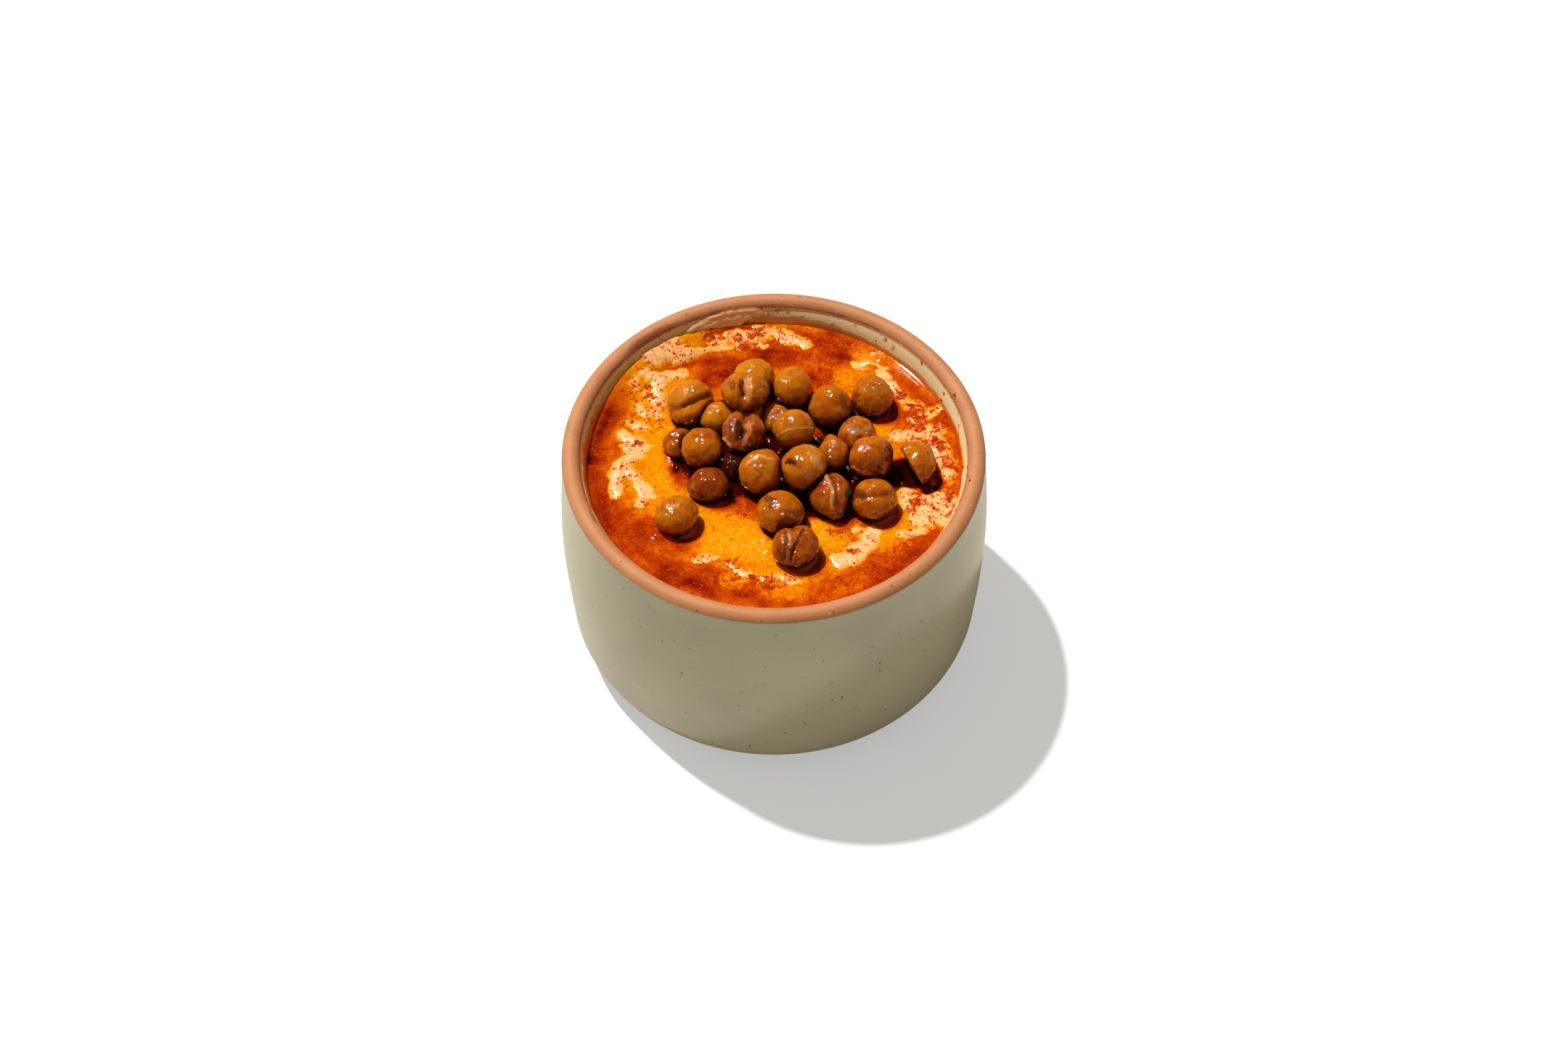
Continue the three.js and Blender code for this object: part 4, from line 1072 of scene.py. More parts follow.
def bank_field(x, y):
    """Above 0 the pale dip stands out of the oil; below 0 it is the oil's depth, in colour steps.

    The plan is first shaken by noise. The pools' depth gets streaks round the bowl and blotches. More oil
    is added by an exponential of the distance to the nearest chickpea: oil gathered at its foot, and,
    counted from points moved away from the sun, its painted shadow. Where chickpeas crowd the oil is made
    deep and dark as painted shade, except in the red nook. The pale dip is broken up by noise and gives way
    to that oil, whose depth eases to almost nothing at its edge."""
    crowd = pea_crowd(x, y)
    # Distances also from points moved away from the sun: the chickpeas' painted shadow.
    shadow_near_gap = pea_gap(x - SHADOW_NEAR[0], y - SHADOW_NEAR[1])
    shadow_far_gap = pea_gap(x - SHADOW_FAR[0], y - SHADOW_FAR[1]) + SHADOW_FAR_GAP
    gap = np.minimum(pea_gap(x, y), np.minimum(shadow_near_gap, shadow_far_gap))
    pooled_oil_and_shadow = np.exp(-np.maximum(gap, 0) / POOL_AND_SHADOW_SPREAD)
    y = y + SLOPE_LEAN * wall_climb(x, y)[1]
    at = plan(x, y)
    shaken_x = x + EDGE_SHAKE * layered_noise(at, 4, 4, 11)
    shaken_y = y + EDGE_SHAKE * layered_noise(at, 4, 4, 21)
    radius = np.hypot(x, y)
    streaks = layered_noise(plan(radius, 9 * np.arctan2(shaken_y, shaken_x)), 4.5, 3, 31)
    blotches = layered_noise(at, 5.0, 4, 41)
    depth = pool_depth(shaken_x, shaken_y, radius) * (1 + 0.45 * streaks + 0.3 * blotches)
    depth = depth + 0.14 * layered_noise(at, 1.6, 3, 43)
    # Painted shade between crowded chickpeas: deep, almost black oil, left out in the red nook.
    red_nook = bell(np.hypot(x - RED_NOOK[0], y - RED_NOOK[1]), RED_NOOK[2])
    crowd_shade = CROWD_SHADE_DEPTH * smoothstep(crowd, 0.88, 1.35) * (1 - red_nook)
    depth = np.maximum(depth, 0) + POOL_AND_SHADOW_DEPTH * pooled_oil_and_shadow + crowd_shade
    cream = cream_strokes(shaken_x, shaken_y)
    patchy = cream + 0.3 * layered_noise(at, 2.6, 5, 51) - 0.1 - 1.2 * pooled_oil_and_shadow - smoothstep(crowd, 1.0, 1.4)
    thin = smoothstep(-patchy, 0.0, 0.7)
    return np.where(patchy > 0, patchy, -np.maximum(depth, 0.05) * thin - 0.02)


def bank_rise(x, y):
    """Rise of the banks: bells across the radius, and flat-topped bells (fourth power) along the turn."""
    radius, turn = np.hypot(x, y), np.degrees(np.arctan2(y, x))
    rise = np.zeros_like(radius)
    for middle, sweep, reach, width, height in BANKS:
        aside = turn_from(turn, middle) / sweep
        rise += height * np.exp(-(((radius - reach) / width) ** 2) - aside**4)
    return rise


# How far the dip is piled or drawn up against the wall: turn in degrees, rise at the wall and its spread.
CLIMB = np.array([
    (-180, 0.9, 0.9), (-150, 0.7, 0.8), (-90, 0.5, 0.7), (0, 0.6, 0.8), (22, 0.5, 0.7),
    (34, 0.28, 0.4), (48, 0.3, 0.45), (60, 0.55, 0.75), (88, 0.9, 1.4), (102, 1.9, 3.0),
    (118, 3.1, 4.5), (135, 3.6, 5.0), (148, 3.1, 4.5), (160, 1.9, 2.6), (172, 1.1, 1.2), (180, 0.9, 0.9),
])


def wall_climb(x, y):
    """Rise of the dip at the wall, and at each point, where it falls off by an exponential.

    The exponential's power is the distance from the wall in spreads, to the power 1.4."""
    turn = np.degrees(np.arctan2(y, x))
    rise, spread = (np.interp(turn, CLIMB[:, 0], CLIMB[:, column]) for column in (1, 2))
    from_wall = np.maximum(inner_radius(DIP_LEVEL + rise) - np.hypot(x, y), 0)
    return rise, rise * np.exp(-((from_wall / spread) ** 1.4))


def pea_gap(x, y):
    """Distance from each point to the nearest chickpea that stands in the oil, at the oil's level."""
    gap = np.full(x.shape, np.inf)
    for pea in PEAS:
        if pea["lift"] < pea["size"]:
            reach = np.sqrt(pea["size"] ** 2 - pea["lift"] ** 2)
            gap = np.minimum(gap, np.hypot(x - pea["x"], y - pea["y"]) - reach)
    return gap


def painted_shadow_crescents(x, y):
    """Painted shade and reflection in a crescent beside some chickpeas: a bell across it, which fades along
    it.
    """
    shadow_crescent = np.zeros_like(x)
    for number, turn, strength in SHADOW_CRESCENTS:
        pea = PEAS[number - 1]
        dx, dy = x - pea["x"], y - pea["y"]
        outside = np.hypot(dx, dy) - np.sqrt(pea["size"] ** 2 - pea["lift"] ** 2)
        towards = np.cos(np.arctan2(dy, dx) - np.radians(turn))
        shadow_crescent = np.maximum(shadow_crescent, strength * bell(outside - 1.1, 0.55) * smoothstep(towards, 0.45, 0.9))
    return shadow_crescent


def pea_crowd(x, y):
    """How closely chickpeas stand round each point: the sum of exponentials of the distances to them."""
    crowd = np.zeros_like(x)
    for pea in PEAS:
        outside = np.maximum(np.hypot(x - pea["x"], y - pea["y"]) - CROWD_FROM * pea["size"], 0)
        crowd += np.exp(-outside / CROWD_SPREAD)
    return crowd


# Low swells of the oil that catch the light: middle, half widths, turn in degrees and height.
SWELLS = [
    (28.8, 36.2, 2.0, 1.3, -35, 0.6), (25.4, 34.6, 2.4, 0.9, -20, 0.4), (27.0, 33.4, 2.6, 0.7, -35, 0.3),
    (-29.8, -23.2, 1.6, 1.1, -40, 0.5), (-2.2, -24.6, 1.2, 0.9, -40, 0.4),
    (-1.5, -28.1, 1.0, 0.8, -40, 0.35), (14.0, -24.5, 1.0, 0.8, -40, 0.3),
    (-36.5, 12.5, 1.0, 0.8, 0, 0.25), (-14.0, -30.5, 1.2, 0.6, 10, 0.25),
]


def dip_height(x, y, bank):
    """Height of the surface: oil level, the rise at the wall, and banks and lumps where the dip stands out.

    Each swell is a bell along and across. The oil is drawn up to the chickpeas by an exponential of the
    distance, and under each the dip has a round dent."""
    at = plan(x, y)
    out = smoothstep(bank, -0.5, 1.0)
    swirl = layered_noise(plan(np.hypot(x, y), 16 * np.arctan2(y, x)), 3.2, 3, 81)
    lumps = 0.06 * swirl + 0.03 * layered_noise(at, 1.6, 3, 85)
    stand = BANK_SHARE * bank_rise(x, y) + CREAM_STAND * np.clip(bank, 0, 1) + lumps
    height = DIP_LEVEL + wall_climb(x, y)[1] + out * stand
    for cx, cy, half_length, half_width, turn, rise in SWELLS:
        along, aside = along_and_aside(x, y, (cx, cy), turn)
        height += rise * np.exp(-((along / half_length) ** 2) - (aside / half_width) ** 2)
    height += MENISCUS_RISE * np.exp(-np.maximum(pea_gap(x, y), 0) / MENISCUS_SPREAD)
    for pea in PEAS:
        radius = DENT_SHARE * pea["size"]
        under = radius**2 - (x - pea["x"]) ** 2 - (y - pea["y"]) ** 2
        bottom = DIP_LEVEL + pea["lift"] - np.sqrt(np.maximum(under, 0)) + DENT_OVERLAP
        height = np.where(under > 0, np.minimum(height, bottom), height)
    return height


def round_grid(count):
    """A square grid laid on the unit disc: each square ring of the grid becomes a circle."""
    side = np.linspace(-1, 1, count)
    a, b = np.meshgrid(side, side, indexing="ij")
    wide = np.abs(a) >= np.abs(b)
    radius = np.where(wide, a, b)
    ratio = np.where(wide, b, a) / np.where(radius == 0, 1, radius)
    angle = np.where(wide, np.pi / 4 * ratio, np.pi / 2 - np.pi / 4 * ratio)
    return radius * np.cos(angle), radius * np.sin(angle)


def make_dip(material):
    """A round grid for the top, a skirt down into the wall and a closed bottom.

    Each point of the round grid keeps its share of the way to the wall, and its height is dip_height."""
    a, b = round_grid(DIP_GRID)
    share, angle = np.hypot(a, b), np.arctan2(b, a)
    climb = wall_climb(np.cos(angle), np.sin(angle))[0]
    edge = inner_radius(DIP_LEVEL + climb) + INTO_WALL
    x, y = share * edge * np.cos(angle), share * edge * np.sin(angle)
    bank = bank_field(x, y)
    height = dip_height(x, y, bank)
    powder = powder_share(x, y, bank)
    index = np.arange(x.size).reshape(x.shape)
    quads = np.stack([index[:-1, :-1], index[1:, :-1], index[1:, 1:], index[:-1, 1:]], axis=-1)
    rim = np.concatenate([index[:-1, 0], index[-1, :-1], index[:0:-1, -1], index[0, :0:-1]])
    points = np.stack([x, y, height], axis=-1).reshape(-1, 3)
    rim_angle = np.arctan2(points[rim, 1], points[rim, 0])
    rings, loops = [points], [rim]
    for level, radius in (
        (SHOULDER_FOOT, inner_radius(SHOULDER_FOOT) + INTO_WALL),
        (INNER_WALL_FOOT, inner_radius(INNER_WALL_FOOT)),
        (FLOOR_THICKNESS, FLOOR_RADIUS),
    ):
        start = sum(len(ring) for ring in rings)
        rings.append(round_points(radius, rim_angle, level))
        loops.append(start + np.arange(len(rim)))
    skirts = [
        np.stack([low, np.roll(low, -1), np.roll(high, -1), high], axis=-1)
        for high, low in zip(loops[:-1], loops[1:])
    ]
    middle = sum(len(ring) for ring in rings)
    rings.append(np.array([[0, 0, FLOOR_THICKNESS]]))
    floor = np.stack([middle + 0 * loops[-1], np.roll(loops[-1], -1), loops[-1]], axis=-1)
    points = np.concatenate(rings)
    hidden = np.zeros(len(points) - x.size)
    marks = {"bank": bank, "powder": powder, "shadow_crescent": painted_shadow_crescents(x, y)}
    marks = {name: np.concatenate([values.ravel(), hidden]) for name, values in marks.items()}
    quads = np.concatenate([quads.reshape(-1, 4)] + skirts)
    piece = make_piece("dip", points, quads, floor, material, marks)
    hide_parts("hummus")


# ---------------------------------------------------------------- paprika

# Where the spoon of paprika fell thickest: middle, half widths, turn in degrees, share.
DUSTINGS = [
    ((-17, 45), (3, 3), 0, 1.0), ((-9, 45.5), (6, 3), 0, 0.85), ((0, 43.5), (5, 2.5), -20, 0.65),
    ((-4, 41), (6, 1.5), 0, 0.7), ((-34, 33), (3.5, 1.6), -10, 1.0), ((-28, 37.5), (7, 5), 0, 0.45),
    ((-33, 14.5), (3.5, 3), 30, 1.0), ((-35, 24), (4, 6), -10, 0.6), ((-38, 15), (3, 4), 0, 0.75),
    ((-37, 7), (2.5, 3), 0, 0.7), ((-47, 2), (3, 22), 0, 0.7), ((-39, -3), (4, 6), 0, 0.4),
    ((-36, -20), (7, 9), 30, 0.6), ((-21, -36), (10, 5), -20, 1.0), ((-5, -38), (9, 3.5), 0, 0.9),
    ((3, -36.5), (6, 2), 0, 0.7), ((-12, -32), (7, 2.5), -10, 0.65), ((36, 18), (7, 6), 20, 1.0),
    ((35, 13.5), (5, 3), 0, 1.0), ((43, 6), (4, 6), 0, 0.85), ((46, -3), (3, 6), 0, 0.9),
    ((36.5, -13.5), (2.5, 5), 0, 1.0), ((45, -10), (2.5, 3), 0, 1.0), ((41, -18), (6, 4), 0, 0.55),
    ((42, -5), (3, 4), 0, 0.7), ((33, -30), (11, 5), 42, 0.75), ((18.5, -22), (4, 3), 0, 0.9),
    ((20, -27), (3, 4), 0, 0.75), ((33, 26), (5, 4), -40, 0.6), ((13, 31), (3.5, 4), 0, 1.0),
    ((16, 42), (8, 4), -12, 1.0), ((3, 38), (8, 4), 0, 0.85), ((-15, 34), (6, 5), 0, 0.9),
    ((-7, -14), (3.5, 4), 0, 1.0), ((12, 12), (4, 4), 0, 1.0), ((-24, -1), (2.5, 4), 0, 0.9),
    ((20, -38), (10, 4), 15, 0.55), ((28, 40), (8, 3), -40, 0.5), ((43, 20), (3, 5), 0, 0.8),
    ((38, 15), (8, 8), 0, 0.9), ((32, 22), (4, 5), -40, 0.9), ((44, -2), (4, 9), 0, 0.8),
    ((-6, 44), (12, 4), 0, 0.75), ((-27, 40), (6, 4), -10, 0.55), ((-33, 22), (4, 8), 0, 0.7),
    ((39, -13), (7, 8), 0, 0.6), ((21, -24), (4, 3), -30, 0.9), ((41, 10), (6, 8), 0, 1.0),
    ((44, -12), (4, 6), 0, 0.85), ((46, 14), (3, 6), 0, 1.0), ((-3, 40), (9, 3), -5, 0.95),
]


def powder_share(x, y, bank):
    """How thickly paprika lies: bells round each dusting, broken up by noise, and more in deep oil."""
    share = np.zeros_like(x)
    y = y + SLOPE_LEAN * wall_climb(x, y)[1]
    for middle, (half_length, half_width), turn, thick in DUSTINGS:
        along, aside = along_and_aside(x, y, middle, turn)
        along, aside = along / half_length, aside / half_width
        share = np.maximum(share, thick * np.exp(-(along * along + aside * aside)))
    broken = smoothstep(layered_noise(plan(x, y), 4.0, 4, 91), -0.35, 0.55)
    deep = smoothstep(-bank, 0.3, 1.6)
    return np.clip((share + 0.35 * deep) * (0.4 + 0.8 * broken) + 0.06, 0, 1)


# Shapes of the small bodies, as points and faces: one of twenty sides and one of eight.
GOLDEN, CORNER_REACH = 1.618, 1.902
TWENTY_SIDED = (
    np.array([
        [0, -1, -GOLDEN], [0, 1, -GOLDEN], [0, -1, GOLDEN], [0, 1, GOLDEN],
        [-1, -GOLDEN, 0], [1, -GOLDEN, 0], [-1, GOLDEN, 0], [1, GOLDEN, 0],
        [-GOLDEN, 0, -1], [GOLDEN, 0, -1], [-GOLDEN, 0, 1], [GOLDEN, 0, 1],
    ]) / CORNER_REACH,
    np.array([
        [0, 1, 9], [0, 8, 1], [0, 5, 4], [0, 4, 8], [0, 9, 5], [1, 7, 9], [1, 6, 7], [1, 8, 6], [2, 11, 3],
        [2, 3, 10], [2, 4, 5], [2, 10, 4], [2, 5, 11], [3, 11, 7], [3, 7, 6], [3, 6, 10], [4, 10, 8],
        [5, 9, 11], [6, 8, 10], [7, 11, 9],
    ]),
)
EIGHT_SIDED = (
    np.array([[1, 0, 0], [0, 1, 0], [-1, 0, 0], [0, -1, 0], [0, 0, 1], [0, 0, -1]], float),
    np.array([[0, 1, 4], [1, 2, 4], [2, 3, 4], [3, 0, 4], [1, 0, 5], [2, 1, 5], [3, 2, 5], [0, 3, 5]]),
)


def rotate(first, second, angle):
    """Turns each body's points by its own angle, from the first coordinate towards the second."""
    cosine, sine = np.cos(angle)[:, None], np.sin(angle)[:, None]
    return first * cosine - second * sine, first * sine + second * cosine


def scatter_piece(name, middles, sizes, flatness, shape, material, seed):
    """Many small bodies in one mesh: each a copy of a small shape with its own stretch, turn and lumps."""
    random = np.random.default_rng(seed)
    shape_points, shape_faces = shape
    count, corners = len(middles), len(shape_points)
    stretch = random.uniform(0.55, 1.3, (count, 1, 3)) * [1, 1, flatness]
    lumps = random.uniform(0.7, 1.15, (count, corners, 1))
    bodies = shape_points[None] * stretch * lumps
    turn, lean = random.uniform(0, 2 * np.pi, count), random.uniform(-0.3, 0.3, count)
    x, y, z = np.moveaxis(bodies, -1, 0)
    y, z = rotate(y, z, lean)
    x, y = rotate(x, y, turn)
    points = np.stack([x, y, z], axis=-1) * np.asarray(sizes)[:, None, None] + np.asarray(middles)[:, None]
    faces = (shape_faces[None] + corners * np.arange(count)[:, None, None]).reshape(-1, 3)
    make_piece(name, points.reshape(-1, 3), np.zeros((0, 4), int), faces, material)


def dip_top(x, y):
    """Height of the dip's surface at points in the plan."""
    bank = bank_field(x, y)
    return dip_height(x, y, bank)


FLAKE_COUNT, GRAIN_COUNT = 2600, 14000
DUST_RADIUS, DUST_TRIES = 47.6, 24  # and how many places are tried for each that is wanted
DUST_GAP, DUST_CROWD = 0.2, 1.15  # none closer to a chickpea, and none where they stand closer together


def dust_places(count, weight_power, seed):
    """Random places on the dip, kept in step with how thickly the paprika lies."""
    random = np.random.default_rng(seed)
    x, y = spread_on_disc(random, DUST_RADIUS, DUST_TRIES * count)
    share = powder_share(x, y, bank_field(x, y)) ** weight_power
    kept = (random.random(len(x)) < share) & (pea_gap(x, y) > DUST_GAP) & (pea_crowd(x, y) < DUST_CROWD)
    return x[kept][:count], y[kept][:count]


def make_paprika(flake_material, dust_material):
    """Flakes and finer grains of paprika on the dip and the oil."""
    random = np.random.default_rng(5)
    x, y = dust_places(FLAKE_COUNT, 2.0, 1)
    sizes = 0.12 + 0.38 * random.random(len(x)) ** 3
    middles = np.stack([x, y, dip_top(x, y)], axis=-1)
    scatter_piece("paprika_flakes", middles, sizes, 0.13, TWENTY_SIDED, flake_material, 2)
    x, y = dust_places(GRAIN_COUNT, 1.0, 3)
    sizes = 0.05 + 0.09 * random.random(len(x)) ** 2
    middles = np.stack([x, y, dip_top(x, y) + 0.3 * sizes], axis=-1)
    scatter_piece("paprika_grains", middles, sizes, 0.7, EIGHT_SIDED, dust_material, 4)


# Paprika on the rim and the inner wall: turn in degrees, height and size of each flake.
RIM_FLAKES = [
    (-4.1, 65.0, 0.55), (-6, 67.2, 0.35), (-9.9, 68.1, 0.45), (-12.4, 69.0, 0.6), (-11, 68.7, 0.3),
    (-19.5, 68.0, 0.5), (-22, 66.6, 0.4), (38.2, 66.9, 0.6), (26.6, 67.3, 0.5), (24.8, 65.9, 0.6),
    (24.6, 63.9, 0.45), (20.7, 68.6, 0.65), (19.6, 68.3, 0.35), (21.5, 67.4, 0.4), (12, 65.5, 0.35),
    (52.8, 66.2, 0.4), (56, 64.6, 0.35), (83, 66.7, 0.45), (86.5, 67.0, 0.4), (89.5, 66.5, 0.55),
    (91, 67.6, 0.35), (94, 67.2, 0.4), (98, 66.0, 0.45), (101.5, 67.4, 0.35), (107, 64.2, 0.45),
    (113, 67.1, 0.35), (118, 66.9, 0.4), (124, 67.2, 0.45), (128, 66.8, 0.4), (136, 67.6, 0.45),
    (141, 67.0, 0.35), (152, 68.3, 0.3), (163, 67.2, 0.35), (206, 68.6, 0.3), (214, 68.9, 0.25),
    (70, 67.2, 0.3),
]

# Torn skin and crumbs of chickpea: place and size.
CRUMBS = [
    (-22.2, 11.6, 65.4, 0.9), (-21.4, 11.0, 66.2, 0.75), (-23.0, 10.9, 65.4, 0.6),
    (-20.6, 11.5, 65.3, 0.6), (-13.4, -1.7, 66.0, 0.8), (-12.2, -0.6, 65.6, 0.6), (2.1, 2.6, 64.9, 0.7),
    (1.3, 1.9, 64.4, 0.5), (3.0, 3.2, 65.1, 0.45), (21.3, -6.6, 64.4, 1.0), (20.4, -7.2, 63.8, 0.6),
    (-5.0, 3.0, 65.0, 0.5),
]

# Dark bits that show in the pale dip: place and size; the last stands between two chickpeas.
DARK_BITS = [
    (40.4, -18.1, 0.55), (40.9, -17.4, 0.35), (-34.6, 25.9, 0.5), (-34.0, 26.6, 0.3), (-26.0, 38.3, 0.35),
    (-29.5, 31.2, 0.3), (-35.4, 11.8, 0.35), (-6.3, 43.6, 0.4), (45.8, 4.5, 0.3), (38.3, 11.0, 0.3),
    (24.2, -23.5, 0.25), (12.0, 7.6, 0.8),
]

HERB_PLACE, HERB_LENGTH, HERB_WIDTH = (19.0, -14.4, 68.3), 1.25, 0.8


def bowl_face(height):
    """Radius of the clay's inner face at a height: the inner wall, and above it the rim's arc."""
    arch = np.sqrt(np.maximum(1 - ((height - WALL_TOP) / RIM_ROUND) ** 2, 0))
    return np.where(height > WALL_TOP, RIM_RADIUS - RIM_WALL / 2 * (1 + arch), inner_radius(height))


RIM_SCATTER = 220  # fine flakes scattered round those of the list
RIM_LOW, RIM_HIGH = 62.6, 69.2  # heights between which they stay


def make_rim_flakes(material):
    """Flakes of paprika stuck to the rim and the wall inside it, and a fine scatter between them."""
    random = np.random.default_rng(12)
    turn, height, size = np.array(RIM_FLAKES).T
    near = random.integers(0, len(turn), RIM_SCATTER)
    turn = np.concatenate([turn, turn[near] + random.normal(0, 5, RIM_SCATTER)])
    drift = random.normal(0, 0.9, RIM_SCATTER)
    height = np.concatenate([height, np.clip(height[near] + drift, RIM_LOW, RIM_HIGH)])
    size = np.concatenate([0.8 * size, 0.06 + 0.13 * random.random(RIM_SCATTER) ** 2])
    middles = round_points(bowl_face(height), np.radians(turn), height)
    scatter_piece("rim_flakes", middles, size, 0.55, TWENTY_SIDED, material, 14)


LAST_BIT_RISE = 2.2  # lifts the last dark bit out of the oil, between its chickpeas


def make_bits(crumb, dark):
    """Crumbs of chickpea between the chickpeas, and dark bits half sunk in the dip."""
    x, y, z, size = np.array(CRUMBS).T
    middles = np.stack([x, y, z], axis=-1)
    scatter_piece("skin_crumbs", middles, 0.8 * size, 0.6, TWENTY_SIDED, crumb, 21)
    x, y, size = np.array(DARK_BITS).T
    z = dip_top(x, y) - 0.05 * size
    z[-1] += LAST_BIT_RISE
    middles = np.stack([x, y, z], axis=-1)
    scatter_piece("dark_bits", middles, 0.8 * size, 0.22, TWENTY_SIDED, dark, 22)


BEAD_COUNT, BEAD_TRIES, BEAD_RADIUS = 420, 30000, 47
BEAD_BANK, BEAD_BAND = 0.05, 0.16  # they lie where the bank's field is within the band of this value
BEAD_GAP = 0.4  # and no closer to a chickpea


def make_oil_beads(material):
    """Beads of oil, flat domes, scattered where the pale dip meets the oil."""
    random = np.random.default_rng(31)
    x, y = spread_on_disc(random, BEAD_RADIUS, BEAD_TRIES)
    kept = (np.abs(bank_field(x, y) - BEAD_BANK) < BEAD_BAND) & (pea_gap(x, y) > BEAD_GAP)
    x, y = x[kept][:BEAD_COUNT], y[kept][:BEAD_COUNT]
    size = 0.09 + 0.16 * random.random(len(x)) ** 2
    middles = np.stack([x, y, dip_top(x, y)], axis=-1)
    scatter_piece("oil_beads", middles, size, 0.35, TWENTY_SIDED, material, 32)


HERB_RINGS, HERB_AROUND, HERB_HALF_THICKNESS = 8, 24, 0.06
# Directions across the leaf and out of the chickpea that it lies on.
HERB_ACROSS, HERB_OUT = np.array([0.55, -0.25, -0.80]), np.array([0.62, -0.52, 0.59])


def make_herb(material):
    """One scrap of leaf: an oval cupped across its width, with a thin body, on the side of a chickpea.

    Its curve is a parabola along it, rises evenly to its edges and waves a little round them."""
    around = 2 * np.pi * np.arange(HERB_AROUND) / HERB_AROUND
    ring, around = np.meshgrid(np.linspace(0.12, 1, HERB_RINGS), around, indexing="ij")
    length = HERB_LENGTH * ring * np.cos(around)
    width = HERB_WIDTH * ring * np.sin(around) * (1 - 0.25 * np.cos(around))
    curve = -0.25 * length**2 + 0.12 * np.abs(width) + 0.04 * np.sin(5 * around) * ring
    body = HERB_HALF_THICKNESS * (1.02 - ring)
    upper, lower = (np.stack([length, width, curve + side], axis=-1) for side in (body, -body))
    tip = np.array([[0, 0, HERB_HALF_THICKNESS]])
    shell = np.concatenate([tip, upper.reshape(-1, 3), lower[::-1].reshape(-1, 3), -tip])
    along = np.cross(HERB_OUT, HERB_ACROSS)
    points = shell @ np.array([along / np.linalg.norm(along), HERB_ACROSS, HERB_OUT]) + HERB_PLACE
    quads, triangles = ring_faces(2 * HERB_RINGS, HERB_AROUND)
    make_piece("herb_scrap", points, quads, triangles, material)


# ---------------------------------------------------------------- assembly

clay = clay_material()
oil = dip_material()
skin = pea_material()
paprika = crumb_material("paprika_flake", (0.52, 0.048, 0.001), (0.26, 0.013, 0.0005), 0.6, 0.0)
paprika_dust = crumb_material("paprika_grain", (0.12, 0.006, 0.0005), (0.40, 0.030, 0.001), 0.5, 0.0)
torn_skin = crumb_material("torn_skin", (0.36, 0.09, 0.006), (0.50, 0.16, 0.010), 0.3, 0.5)
dark_grit = crumb_material("dark_grit", (0.03, 0.02, 0.015), (0.14, 0.11, 0.09), 0.5)
oil_bead = crumb_material("oil_bead", (0.80, 0.30, 0.01), (0.80, 0.42, 0.10), 0.1, 0.7)
leaf = crumb_material("herb_leaf", (0.010, 0.045, 0.010), (0.03, 0.10, 0.02), 0.35, 0.4)

make_bowl(clay)
make_dip(oil)
for pea_number, each_pea in enumerate(PEAS, 1):
    make_pea(pea_number, each_pea, skin)
make_paprika(paprika, paprika_dust)
make_rim_flakes(paprika)
make_bits(torn_skin, dark_grit)
make_oil_beads(oil_bead)
make_herb(leaf)

# ---------------------------------------------------------------- floor, light and camera

FLOOR_HALF, FLOOR_DROP = 4.0, 0.0002  # metres
FLOOR_COLOUR, FLOOR_ROUGHNESS = (0.62, 0.59, 0.53, 1), 0.9
# What the camera sees of it: a pale glow and some of the light and shade that fall on it.
FLOOR_GLOW, FLOOR_GLOW_STRENGTH, FLOOR_SHADED = (0.98, 1.02, 1.05, 1), 0.41, (0.5, 0.5, 0.5, 1)
FRAME_WIDTH, FOCAL_PIXELS, SENSOR = 2160, 3522.0, 36.0
CAMERA_PLACE = (0.002662, -0.41828, 0.58021)
CAMERA_PITCH = 52.4
SUN_TURN, SUN_HEIGHT, SUN_WIDTH = 138.0, 63.0, 1.6  # degrees
SUN_ENERGY, SUN_COLOUR = 4.15, (1.0, 0.97, 0.92)
# Strength of the surroundings in gloss, and what is added where they are seen and where they give light.
SKY_REFLECTED, SKY_SEEN, SKY_SOFT = 0.03, 0.9, 0.29
SKY_COLOUR, SOFT_COLOUR = (1.0, 0.99, 0.97, 1), (1.0, 0.80, 0.62, 1)


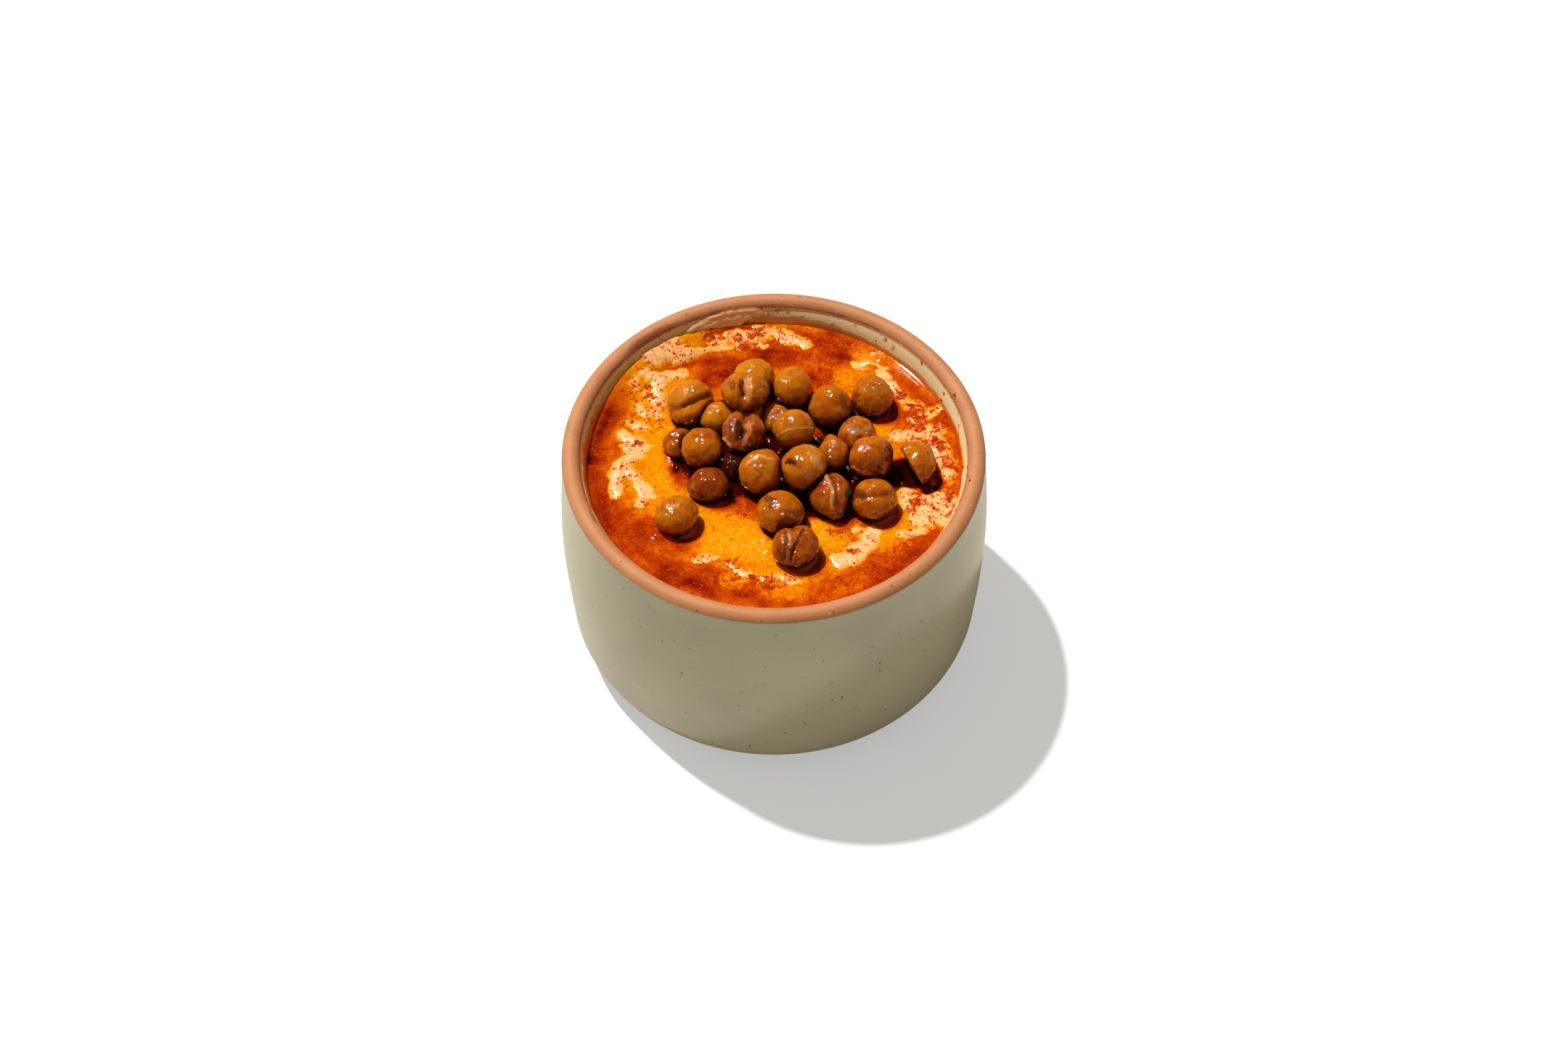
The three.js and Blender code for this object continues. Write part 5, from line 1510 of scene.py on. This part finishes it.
def make_floor():
    """A pale sheet that everything stands on, a little below the foot so that the two don't coincide."""
    mesh = bpy.data.meshes.new("floor")
    corners = [(-1, -1), (1, -1), (1, 1), (-1, 1)]
    points = [(FLOOR_HALF * x, FLOOR_HALF * y, -FLOOR_DROP) for x, y in corners]
    mesh.from_pydata(points, [], [(0, 1, 2, 3)])
    material, tree, shader = new_material("floor")
    shader.inputs["Base Color"].default_value = FLOOR_COLOUR
    shader.inputs["Roughness"].default_value = FLOOR_ROUGHNESS
    glow = add_node(tree, "Emission", {"Color": FLOOR_GLOW, "Strength": FLOOR_GLOW_STRENGTH})
    dim = add_node(tree, "BsdfDiffuse", {"Color": FLOOR_SHADED})
    shown = add_node(tree, "AddShader", {0: glow.outputs[0], 1: dim.outputs[0]})
    direct = add_node(tree, "LightPath", {}).outputs["Is Camera Ray"]
    both = add_node(tree, "MixShader", {0: direct, 1: shader.outputs[0], 2: shown.outputs[0]})
    output = next(node for node in tree.nodes if node.type == "OUTPUT_MATERIAL")
    tree.links.new(both.outputs[0], output.inputs["Surface"])
    mesh.materials.append(material)
    floor = bpy.data.objects.new("floor", mesh)
    bpy.context.scene.collection.objects.link(floor)


def make_light():
    """One sun from the back left, and an even pale surrounding."""
    sun = bpy.data.lights.new("sun", "SUN")
    sun.energy = SUN_ENERGY
    sun.angle = np.radians(SUN_WIDTH)
    sun.color = SUN_COLOUR
    lamp = bpy.data.objects.new("sun", sun)
    turn, height = np.radians(SUN_TURN), np.radians(SUN_HEIGHT)
    towards = Vector((np.cos(turn) * np.cos(height), np.sin(turn) * np.cos(height), np.sin(height)))
    lamp.rotation_euler = towards.to_track_quat("Z", "Y").to_euler()
    bpy.context.scene.collection.objects.link(lamp)
    world = bpy.data.worlds.new("studio")
    bpy.context.scene.world = world
    world.use_nodes = True
    tree = world.node_tree
    tree.nodes.clear()
    direct = add_node(tree, "LightPath", {}).outputs["Is Camera Ray"]
    soft = add_node(tree, "LightPath", {}).outputs["Is Diffuse Ray"]
    strength = add(tree, SKY_REFLECTED, multiply(tree, direct, SKY_SEEN))
    strength = add(tree, strength, multiply(tree, soft, SKY_SOFT))
    tint = blend_colours(tree, soft, SKY_COLOUR, SOFT_COLOUR)
    light = add_node(tree, "Background", {"Color": tint, "Strength": strength})
    output = tree.nodes.new("ShaderNodeOutputWorld")
    tree.links.new(light.outputs[0], output.inputs["Surface"])


def make_camera():
    """The camera, level across and looking down at the bowl from its front."""
    lens = bpy.data.cameras.new("camera")
    lens.sensor_width = SENSOR
    lens.lens = SENSOR * FOCAL_PIXELS / FRAME_WIDTH
    camera = bpy.data.objects.new("camera", lens)
    camera.location = CAMERA_PLACE
    camera.rotation_euler = (np.radians(90 - CAMERA_PITCH), 0, 0)
    bpy.context.scene.collection.objects.link(camera)
    bpy.context.scene.camera = camera


make_floor()
make_light()
make_camera()
bpy.context.scene.view_settings.view_transform = "Standard"
